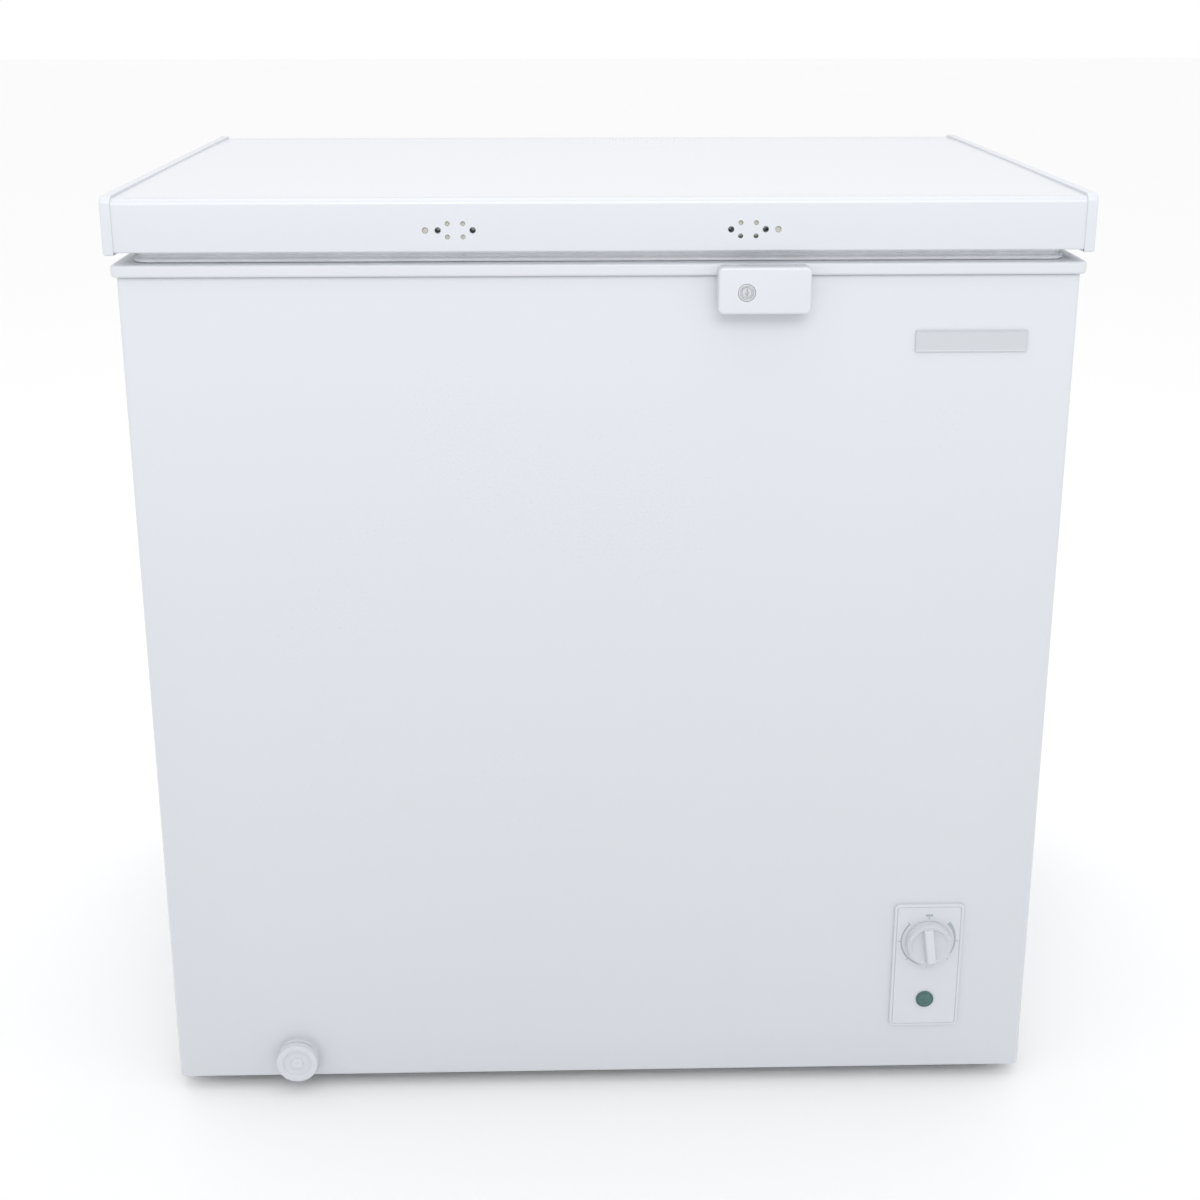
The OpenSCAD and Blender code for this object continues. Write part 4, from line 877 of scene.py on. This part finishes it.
class FREEZER_OT_lid_foam(bpy.types.Operator):
    """Fills the lid with foam, up to the small handle holes and round the liner's pressed field"""
    bl_idname = "freezer.lid_foam"
    bl_label = "Lid foam"

    def execute(self, context):
        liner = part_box("lid_liner")[0]
        tank_low, tank_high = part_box("inner_liner")
        inserts_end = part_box("handle_inserts_right")[1].x
        foam_block = copy_of("lid_foam", "foam_filling")
        behind_skin = LID.y + 2.2 * MM
        deep = LID.y + 14 * MM
        fuller = 0.4 * MM
        plugs = [new_rod("plug", (x, behind_skin, z), (x, deep, z), r + fuller, 24)
                 for x, z, r in HANDLE_HOLES if near(r, RIVET_HOLE) or abs(x) > inserts_end]
        cut(foam_block, *plugs, operation="UNION")
        margin = 59 * MM
        pressed = 5.3 * MM
        swing = ARM_HIGH.x - KEY.x
        cut(foam_block,
            new_block("field", (tank_low.x + margin, tank_low.y + margin, liner.z),
                      (tank_high.x - margin, tank_high.y - margin, liner.z + pressed)),
            new_block("arm_pocket", (KEY.x - swing / 2, LID.y, LID.z),
                      (KEY.x + swing, ARM_HIGH.y + 1.9 * MM, KEY.z + swing + 1.5 * MM)))
        finish(foam_block, "insulation_foam", "lid_foam")
        return {"FINISHED"}


class FREEZER_OT_lid_end_caps(bpy.types.Operator):
    """Moulds the two end caps of the lid, each with a tongue that reaches inside the skin"""
    bl_idname = "freezer.lid_end_caps"
    bl_label = "Lid end caps"

    def execute(self, context):
        sizes = context.scene.freezer_lid
        skin_low, skin_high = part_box("lid_skin")
        for side, node in ((-1, "lid_end_cap_left"), (1, "lid_end_cap_right")):
            low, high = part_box(node)
            inner = skin_low.x if side < 0 else skin_high.x
            outer = low.x if side < 0 else high.x
            ends = sorted((inner, outer))
            cap = new_block("end_cap_" + node.split("_")[-1],
                            (ends[0], low.y, low.z), (ends[1], high.y, high.z))
            lengthwise = along(X)
            tongue_margin = 4.4 * MM
            tongue = 10 * MM
            with editing(cap):
                bevel(cap, lambda e: lengthwise(e) and near(middle(e).z, high.z),
                      sizes.cap_corner, 8)
                bevel(cap, lambda e: lengthwise(e) and near(middle(e).z, low.z), 2 * MM, 3)
                bevel(cap, lies_at("x", outer),
                      sizes.cap_round, 5)
                bevel(cap, lies_at("x", inner), 0.5 * MM, 2)
                pick(cap, "faces", facing(-X * side))
                inset(tongue_margin)
                extrude(-X * side * tongue)
            finish(cap, "white_plastic", node)
        return {"FINISHED"}


class FREEZER_OT_gasket(bpy.types.Operator):
    """Draws the pleated magnetic gasket under the lid"""
    bl_idname = "freezer.gasket"
    bl_label = "Gasket"

    def execute(self, context):
        low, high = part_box("lid_gasket")
        tall = (high.z - low.z) / MM
        wide = 22
        side = [(2.4, 0), (1.2, 0.5), (0.8, 1.6), (1.2, 2.8), (2.6, 3.4), (4.4, 3.8), (5.2, 4.9),
                (4.6, 6.0), (2.8, 6.7), (1.4, 7.4), (0.8, 8.6), (0.5, 10.2), (1.2, tall)]
        other = [(wide - i, u) for i, u in reversed(side)]
        profile = [(i * MM, u * MM) for i, u in side + other]
        seal = swept_round("gasket", profile, low, high, 14 * MM, low.z)
        finish(seal, "gasket_rubber", "lid_gasket", angle=50)
        return {"FINISHED"}


class FREEZER_OT_lid_liner(bpy.types.Operator):
    """Forms the liner under the lid, with its raised plug and pressed field"""
    bl_idname = "freezer.lid_liner"
    bl_label = "Lid liner"

    def execute(self, context):
        sizes = context.scene.freezer_lid
        low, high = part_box("lid_liner")
        tank_low, tank_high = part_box("inner_liner")
        wall = 1.2 * MM
        base = high.z - wall
        gap = 15 * MM
        plug_low = tank_low + X * gap + Y * gap
        plug_high = tank_high - X * gap - Y * gap
        bpy.ops.mesh.primitive_plane_add(
            size=1, location=((low.x + high.x) / 2, (low.y + high.y) / 2, base))
        liner = bpy.context.object
        liner.scale = (high.x - low.x, high.y - low.y, 1)
        set_down(liner, "lid_liner_panel")
        edge = high.x - plug_high.x
        middle_y = (plug_low.y + plug_high.y) / 2
        with editing(liner):
            everything()
            inset(edge)
            pick(liner, "verts", lambda v: near(v.co.y, low.y + edge))
            bpy.ops.transform.translate(value=Y * (plug_low.y - low.y - edge))
            pick(liner, "verts", lambda v: near(v.co.y, high.y - edge))
            bpy.ops.transform.translate(value=Y * (plug_high.y - high.y + edge))
            inside = plug_low.x - MM
            pick(liner, "faces", lambda f: all(v.co.x > inside and v.co.x < -inside
                                               for v in f.verts))
            extrude(Z * (low.z - base))
            bevel(liner, along(Z), 20 * MM, 8)
            bevel(liner, rim(low.z), sizes.liner_round, 5)
            bevel(liner, rim(base), 3 * MM, 3)
            pick(liner, "faces", lambda f: near(middle(f).z, low.z) and abs(f.normal.z) > 0.99)
            field = self.shrink(plug_low, plug_high, 45 * MM)
            slope = self.shrink(plug_low, plug_high, 8 * MM)
            bpy.ops.mesh.extrude_region_move()
            bpy.ops.transform.resize(value=field, center_override=(0, middle_y, low.z))
            extrude(Z * 4 * MM)
            bpy.ops.transform.resize(value=slope, center_override=(0, middle_y, low.z))
            turn_out(liner, lambda f: f.normal.z > 0.9)
        thicken(liner, wall)
        finish(liner, "liner_plastic", "lid_liner", angle=40)
        return {"FINISHED"}

    @staticmethod
    def shrink(low, high, margin):
        size = high - low
        return (1 - 2 * margin / size.x, 1 - 2 * margin / size.y, 1)


class FREEZER_OT_handle_inserts(bpy.types.Operator):
    """Turns the threaded inserts for a handle's screws"""
    bl_idname = "freezer.handle_inserts"
    bl_label = "Handle inserts"

    def execute(self, context):
        flush = 0.15
        thread = 2
        turns = 9
        for node in ("handle_inserts_left", "handle_inserts_right"):
            low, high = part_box(node)
            flange = (high.z - low.z) / 2 / MM
            barrel = flange - 1.6
            deep = (high.y - low.y) / MM
            profile = [(0, deep - 1), (thread, deep - 1)]
            pitch = (deep - 2.2) / turns
            for i in range(turns):
                start = deep - 1 - i * pitch
                profile += [(thread + 0.25, start - pitch / 2), (thread, start - pitch)]
            profile += [
                (thread + 0.3, flush), (barrel - 0.3, flush), (barrel, flush + 0.3),
                (barrel, 0.8), (flange, 0.9), (flange, 4.6), (barrel, 5), (barrel, deep), (0, deep)]
            first = Vector((low.x + flange * MM, low.y, (low.z + high.z) / 2))
            insert = turned(node.replace("handle_inserts", "inserts"), first, Y, profile, 32)
            repeat(insert, [X * (high.x - low.x - 2 * flange * MM)])
            finish(insert, "zinc_steel", node)
        return {"FINISHED"}


class FREEZER_OT_lock_housing(bpy.types.Operator):
    """Moulds the housing of the key lock"""
    bl_idname = "freezer.lock_housing"
    bl_label = "Lock housing"

    def execute(self, context):
        sizes = context.scene.freezer_trim
        low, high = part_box("lock_housing")
        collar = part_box("top_collar")[0]
        wall = 2.5 * MM
        key_hole = 7.45 * MM
        housing = new_block("lock_case", low, high)
        with editing(housing):
            pick(housing, "faces", facing(Y))
            bpy.ops.mesh.delete(type="FACE")
            bevel(housing, along(Y), sizes.lock_round, 5)
            bevel(housing, lies_at("y", low.y), 2.2 * MM, 5)
        thicken(housing, wall)
        cut(housing,
            new_block("collar_gap", (low.x - MM, collar.y, collar.z),
                      (high.x + MM, high.y + MM, high.z + MM)),
            new_block("slot", *LOCK_SLOT),
            new_rod("key_hole", (KEY.x, low.y - MM, KEY.z), (KEY.x, low.y + 2 * wall, KEY.z), key_hole))
        finish(housing, "white_plastic", "lock_housing", angle=30)
        return {"FINISHED"}


class FREEZER_OT_lock_cylinder(bpy.types.Operator):
    """Turns the key cylinder, with a ring, a groove and a keyhole"""
    bl_idname = "freezer.lock_cylinder"
    bl_label = "Lock cylinder"

    def execute(self, context):
        low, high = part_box("lock_cylinder")
        origin = Vector((KEY.x, low.y, KEY.z))
        deep = (high.y - low.y) / MM
        face = 0.5
        profile = [(0, face), (3.9, face), (4.2, face + 0.3), (4.2, 3.2), (5.5, 3.2), (5.5, 0.5),
                   (5.8, 0.1), (6.9, 0.1), (7.3, 0.5), (7.4, 1.0), (7.4, 3.4), (8.6, 3.4),
                   (8.6, 4.5), (7.4, 4.5), (7.4, deep), (0, deep)]
        key = turned("key_cylinder", origin, Y, profile, 64)
        slot = new_block("keyway", origin + Vector((-0.55, -1, -3.2)) * MM,
                         origin + Vector((0.55, 6, 3.2)) * MM)
        with editing(slot):
            bevel(slot, along(Y), 0.3 * MM, 2)
        cut(key, slot, new_rod("pin_hole", origin - Y * MM, origin + Y * 5 * MM, 1.6 * MM, 32))
        finish(key, "lock_metal", "lock_cylinder", angle=30)
        return {"FINISHED"}


class FREEZER_OT_control_panel(bpy.types.Operator):
    """Moulds the control panel with its groove, rim and bores"""
    bl_idname = "freezer.control_panel"
    bl_label = "Control panel"

    def execute(self, context):
        sizes = context.scene.freezer_trim
        low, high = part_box("control_panel")
        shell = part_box("outer_shell")[0]
        knob = centre_of("thermostat_knob")
        lens = centre_of("indicator_lens")
        spindle_bore = 3.6 * MM
        lens_bore = 8.3 * MM
        panel = new_block("panel", low, (high.x, shell.y, high.z))
        deep_axis = along(Y)
        with editing(panel):
            bevel(panel, deep_axis, sizes.panel_corner, 8)
            bevel(panel, lies_at("y", low.y), 0.9 * MM, 3)
            pick(panel, "faces", facing(-Y))
            inset(1.3 * MM)
            inset(sizes.panel_groove / 2, -0.7 * MM)
            inset(sizes.panel_groove / 2, 0.7 * MM)
        border = 6.2 * MM
        rim = new_block("rim", (low.x + border, shell.y - 0.5 * MM, low.z + border),
                        (high.x - border, high.y, high.z - border))
        with editing(rim):
            bevel(rim, deep_axis, 3 * MM, 4)
            pick(rim, "faces", facing(Y))
            inset(2 * MM)
            extrude(Y * (shell.y + 0.5 * MM - high.y))
        cut(panel, rim, operation="UNION")
        cut(panel,
            new_rod("bore", (knob.x, low.y - MM, knob.z), (knob.x, high.y, knob.z), spindle_bore),
            new_rod("window", (lens.x, low.y - MM, lens.z), (lens.x, high.y, lens.z), lens_bore))
        finish(panel, "control_plastic", "control_panel", angle=30)
        hues = context.scene.freezer_colours
        panel.data.materials[0] = printed_panel(
            "control_plastic_printed", tuple(hues.plastic), tuple(hues.print_ink)).material
        return {"FINISHED"}


class FREEZER_OT_knob(bpy.types.Operator):
    """Turns the thermostat knob's dished face and raises its grip ridge"""
    bl_idname = "freezer.knob"
    bl_label = "Thermostat knob"

    def execute(self, context):
        sizes = context.scene.freezer_trim
        low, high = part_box("thermostat_knob")
        centre = (low + high) / 2
        rear = Vector((centre.x, high.y, centre.z))
        tall = (high.y - low.y) / MM
        rim = tall - 3
        blind = 4.5
        profile = [(0, blind), (3.05, blind), (3.05, 0), (20.4, 0), (20.9, 0.4), (21, 1.2),
                   (20.8, rim - 2), (20.6, rim - 0.6), (20.2, rim - 0.1), (19.8, rim - 0.1),
                   (19.5, rim - 0.6), (19.1, rim - 0.6), (18.8, rim - 0.1), (18.3, rim),
                   (17.8, rim - 0.4), (16.2, rim - 2.2), (12.6, rim - 3.6), (7, rim - 4.4),
                   (0, rim - 4.6)]
        knob = turned("knob_cap", rear, -Y, profile, 96)
        half = sizes.grip / 2
        grip = new_block("grip", (centre.x - half, low.y, low.z + 2 * MM),
                         (centre.x + half, rear.y - (rim - 5) * MM, high.z - 2 * MM))
        with editing(grip):
            pick(grip, "faces", facing(-Y))
            bpy.ops.transform.resize(value=(0.84, 1, 0.92),
                                     center_override=(centre.x, low.y, centre.z))
            bevel(grip, lies_at("y", low.y), 1.2 * MM, 4)
            everything()
            bpy.ops.transform.rotate(value=sizes.lean, orient_axis="Y", center_override=centre)
        drum = new_rod("drum", rear, rear - Y * (tall + 1) * MM, 18.3 * MM, 96)
        cut(grip, drum, operation="INTERSECT")
        cut(knob, grip, operation="UNION")
        finish(knob, "control_plastic", "thermostat_knob", angle=32)
        return {"FINISHED"}


class FREEZER_OT_lens(bpy.types.Operator):
    """Turns the indicator's domed lens, with rings inside its rim"""
    bl_idname = "freezer.lens"
    bl_label = "Indicator lens"

    def execute(self, context):
        low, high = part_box("indicator_lens")
        centre = (low + high) / 2
        rear = Vector((centre.x, high.y, centre.z))
        tall = (high.y - low.y) / MM
        shoulder = tall - 1.1
        profile = [(0, 0), (8.25, 0), (8.25, shoulder - 0.4), (7.9, shoulder), (7.3, shoulder + 0.05),
                   (7.1, shoulder - 0.25), (6.9, shoulder - 0.25)]
        dome = 6.8
        for i in range(10):
            share = 1 - i / 9
            profile.append((dome * share, shoulder + 1.1 * (1 - share ** 2)))
        lens = turned("lens", rear, -Y, profile, 64)
        finish(lens, "green_lens", "indicator_lens")
        return {"FINISHED"}


class FREEZER_OT_badge(bpy.types.Operator):
    """Raises the blank badge plate with its sloping border"""
    bl_idname = "freezer.badge"
    bl_label = "Badge"

    def execute(self, context):
        sizes = context.scene.freezer_trim
        low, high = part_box("badge_plate")
        badge = new_block("badge", low, high)
        with editing(badge):
            pick(badge, "faces", facing(-Y))
            inset(0.5 * MM)
            inset(sizes.badge_border / 2, -0.55 * MM)
            inset(0.4 * MM)
            upright = along(Y)
            ends = (low.z, high.z)
            bevel(badge, lambda e: upright(e) and any(near(middle(e).z, z) for z in ends), 1.2 * MM, 4)
        finish(badge, "white_plastic", "badge_plate", angle=25)
        # painted shade: the badge's white plastic is darkened to 0.84 to stand in for the shade on the
        # bevelled plate; only the rougher satin surface is its own finish
        painted_shade_white = shade(tuple(context.scene.freezer_colours.plastic), 0.84)
        badge.data.materials[0] = moulded("white_plastic_satin", painted_shade_white, 0.5).material
        return {"FINISHED"}


class FREEZER_OT_drain(bpy.types.Operator):
    """Turns the drain's bezel, spout and cap"""
    bl_idname = "freezer.drain"
    bl_label = "Drain"

    def execute(self, context):
        low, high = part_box("drain_bezel")
        outer = (high.x - low.x) / 2 / MM
        deep = (high.y - low.y) / MM
        bore = 10.05
        tube = 12.4
        profile = [(bore, 0), (outer - 2.2, 0), (outer - 0.8, 0.5), (outer, 1.8), (outer, 3.5),
                   (tube, 3.5), (tube, deep), (bore, deep), (bore, 0)]
        centre = Vector((DRAIN.x, low.y, DRAIN.z))
        bezel = turned("drain_ring", centre, Y, profile)
        finish(bezel, "white_plastic", "drain_bezel")
        low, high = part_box("drain_cap")
        radius = (high.x - low.x) / 2 / MM
        stem_end = (high.y - low.y) / MM
        back = 7.7
        profile = [(0, 1.1), (1.2, 0.9), (2.2, 0.5), (4.4, 0.5), (5.4, 0.9), (5.8, 1.7), (6.6, 2.0),
                   (11.8, 2.0), (12.6, 1.7), (13.2, 0.5), (13.9, 0.1), (17.4, 0.1), (18.9, 0.5),
                   (radius, 1.6), (radius, back - 0.8), (radius - 0.8, back), (2.5, back),
                   (2.5, stem_end), (0, stem_end)]
        centre = Vector((DRAIN.x, low.y, DRAIN.z))
        cap = turned("drain_dial_cap", centre, Y, profile, 96)
        finish(cap, "white_plastic", "drain_cap")
        return {"FINISHED"}


class FREEZER_OT_feet(bpy.types.Operator):
    """Turns the four moulded feet"""
    bl_idname = "freezer.feet"
    bl_label = "Feet"

    def execute(self, context):
        low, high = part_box("feet")
        tall = (high.z - low.z) / MM
        radius = 20
        profile = [(2.6, 6), (6, 6), (6, 0.6), (6.6, 0), (15.6, 0), (16.6, 0.4), (17.2, 1.2), (18, 4),
                   (18.2, 4.6), (18.9, 5.0), (19.3, 8), (radius, tall - 1.2), (radius - 0.6, tall),
                   (2.6, tall), (2.6, 6)]
        first = Vector((low.x + radius * MM, low.y + radius * MM, low.z))
        foot = turned("feet_set", first, Z, profile, 48)
        across = X * (high.x - low.x - 2 * radius * MM)
        deep = Y * (high.y - low.y - 2 * radius * MM)
        repeat(foot, [across, deep, across + deep])
        finish(foot, "black_plastic", "feet")
        return {"FINISHED"}


class FREEZER_OT_machine_cover(bpy.types.Operator):
    """Presses the rear cover of the machine bay with hooded louvres"""
    bl_idname = "freezer.machine_cover"
    bl_label = "Machine cover"

    def execute(self, context):
        cover = copy_of("machine_cover", "rear_cover")
        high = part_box("machine_cover")[1]
        soften(cover, 0.25 * MM, 2)
        hood = new_block("hood", (-28 * MM, 0, 4.6 * MM), (28 * MM, 3.2 * MM, 7.4 * MM))
        with editing(hood):
            pick(hood, "verts", lambda v: v.co.y > MM and v.co.z > 6 * MM)
            bpy.ops.transform.translate(value=Z * -1.6 * MM)
            bevel(hood, lambda e: any(v.co.y > MM for v in e.verts), 0.9 * MM, 3)
        bay_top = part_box("bay_partition")[1].z - 0.8 * MM
        pitch_x = 68 * MM
        pitch_z = 14 * MM
        rows = 7
        hood.location = (centre_of("compressor_plate").x - pitch_x / 2, high.y - 0.1 * MM,
                         bay_top - 100 * MM)
        set_down(hood, "hood")
        moves = [X * pitch_x * i + Z * pitch_z * j for j in range(rows) for i in range(2)]
        repeat(hood, moves[1:])
        join(cover, hood)
        finish(cover, "rear_sheet", "machine_cover")
        return {"FINISHED"}


class FREEZER_OT_broken_edges(bpy.types.Operator):
    """Breaks the sharp edges of the small pressed and moulded pieces"""
    bl_idname = "freezer.broken_edges"
    bl_label = "Broken edges"

    SMALL = {
        "side_vent": "vent_grille", "cord_gland": "lead_gland", "relay_cover": "relay_case",
        "compressor_plate": "mounting_plate", "hinge_base_left": "hinge_bracket_left",
        "hinge_base_right": "hinge_bracket_right", "hinge_arm_left": "hinge_leaf_left",
        "hinge_arm_right": "hinge_leaf_right", "lock_arm": "lock_hook",
        "lock_strike": "strike_plate", "drain_stopper": "stopper_plug",
    }

    def execute(self, context):
        width = context.scene.freezer_trim.soften
        for node, name in self.SMALL.items():
            piece = copy_of(node, name)
            soften(piece, width)
            finish(piece, SLOT_OF[node], node)
        return {"FINISHED"}


# ---------------------------------------------------------------- stage


class FREEZER_OT_stage(bpy.types.Operator):
    """Sets up the floor, the studio light and the camera"""
    bl_idname = "freezer.stage"
    bl_label = "Stage"

    def execute(self, context):
        stage = context.scene.freezer_stage
        self.lay_floor(stage)
        self.light_room(stage)
        self.place_camera(stage)
        return {"FINISHED"}

    def lay_floor(self, stage):
        bpy.ops.mesh.primitive_plane_add(size=40)
        floor = set_down(bpy.context.object, "floor")
        with editing(floor):
            everything()
            bpy.ops.mesh.subdivide(number_cuts=4)
        shader = Shader("floor_paper", Roughness=0.9)
        tone = shader.noise(0.6, 2)
        colour = tuple(stage.floor)
        shader.to("Base Color", shader.blend(tone, shade(colour, 0.985), colour))
        floor.data.materials.append(shader.material)

    def light_room(self, stage):
        scene = bpy.context.scene
        scene.view_settings.view_transform = "Standard"
        world = bpy.data.worlds.new("studio")
        world.use_nodes = True
        world.node_tree.nodes["Background"].inputs["Color"].default_value = (1, 1, 1, 1)
        world.node_tree.nodes["Background"].inputs["Strength"].default_value = stage.sky
        scene.world = world
        for name, place, aim, size, spread, power in (
                ("overhead_softbox", (0, -0.1, 2.7), (0, -0.1, 0.85), (1.8, 1.8), 180,
                 stage.overhead),
                ("front_softbox", (0, -1.6, 1.7), (0, -0.26, 1.0), (2.6, 0.6), 70,
                 stage.front)):
            bpy.ops.object.light_add(type="AREA", location=place)
            light = bpy.context.object
            light.name = name
            light.data.shape = "RECTANGLE"
            light.data.size = size[0]
            light.data.size_y = size[1]
            light.data.spread = math.radians(spread)
            light.data.energy = power
            ray = Vector(aim) - Vector(place)
            light.rotation_euler = ray.to_track_quat("-Z", "Y").to_euler()

    def place_camera(self, stage):
        yaw = 0.025
        pitch = 0.2887
        eye = (-0.0367, -1.6658, 1.0232)
        bpy.ops.object.camera_add(location=eye)
        camera = bpy.context.object
        camera.name = "camera"
        camera.data.lens = stage.focal
        camera.data.shift_y = -0.1
        camera.rotation_euler = (math.pi / 2 - pitch, 0, -yaw)
        bpy.context.scene.camera = camera


# ---------------------------------------------------------------- panel and registration


class FREEZER_PT_sidebar(bpy.types.Panel):
    """Lists the freezer's pieces in the sidebar"""
    bl_idname = "FREEZER_PT_sidebar"
    bl_label = "Chest Freezer"
    bl_space_type = "VIEW_3D"
    bl_region_type = "UI"
    bl_category = "Freezer"

    def draw(self, context):
        for operator in OPERATORS:
            self.layout.operator(operator.bl_idname)
        for group in GROUPS:
            settings = getattr(context.scene, group)
            for name in settings.bl_rna.properties.keys():
                if name not in ("rna_type", "name"):
                    self.layout.prop(settings, name)


GROUPS = {
    "freezer_cabinet": CabinetSizes,
    "freezer_lid": LidSizes,
    "freezer_trim": TrimSizes,
    "freezer_colours": FinishColours,
    "freezer_stage": StageSettings,
}

OPERATORS = (
    FREEZER_OT_stage,
    FREEZER_OT_finishes,
    FREEZER_OT_cabinet_shell,
    FREEZER_OT_collar,
    FREEZER_OT_tank,
    FREEZER_OT_lid_skin,
    FREEZER_OT_lid_foam,
    FREEZER_OT_lid_end_caps,
    FREEZER_OT_gasket,
    FREEZER_OT_lid_liner,
    FREEZER_OT_handle_inserts,
    FREEZER_OT_lock_housing,
    FREEZER_OT_lock_cylinder,
    FREEZER_OT_control_panel,
    FREEZER_OT_knob,
    FREEZER_OT_lens,
    FREEZER_OT_badge,
    FREEZER_OT_drain,
    FREEZER_OT_feet,
    FREEZER_OT_machine_cover,
    FREEZER_OT_broken_edges,
)


def register():
    for made in (*GROUPS.values(), *OPERATORS, FREEZER_PT_sidebar):
        bpy.utils.register_class(made)
    for name, group in GROUPS.items():
        setattr(bpy.types.Scene, name, bpy.props.PointerProperty(type=group))


def unregister():
    for name in GROUPS:
        delattr(bpy.types.Scene, name)
    for made in (FREEZER_PT_sidebar, *reversed(OPERATORS), *GROUPS.values()):
        bpy.utils.unregister_class(made)


def main():
    register()
    for operator in OPERATORS:
        name = operator.bl_idname.split(".")[1]
        getattr(bpy.ops.freezer, name)()


if __name__ == "__main__":
    main()
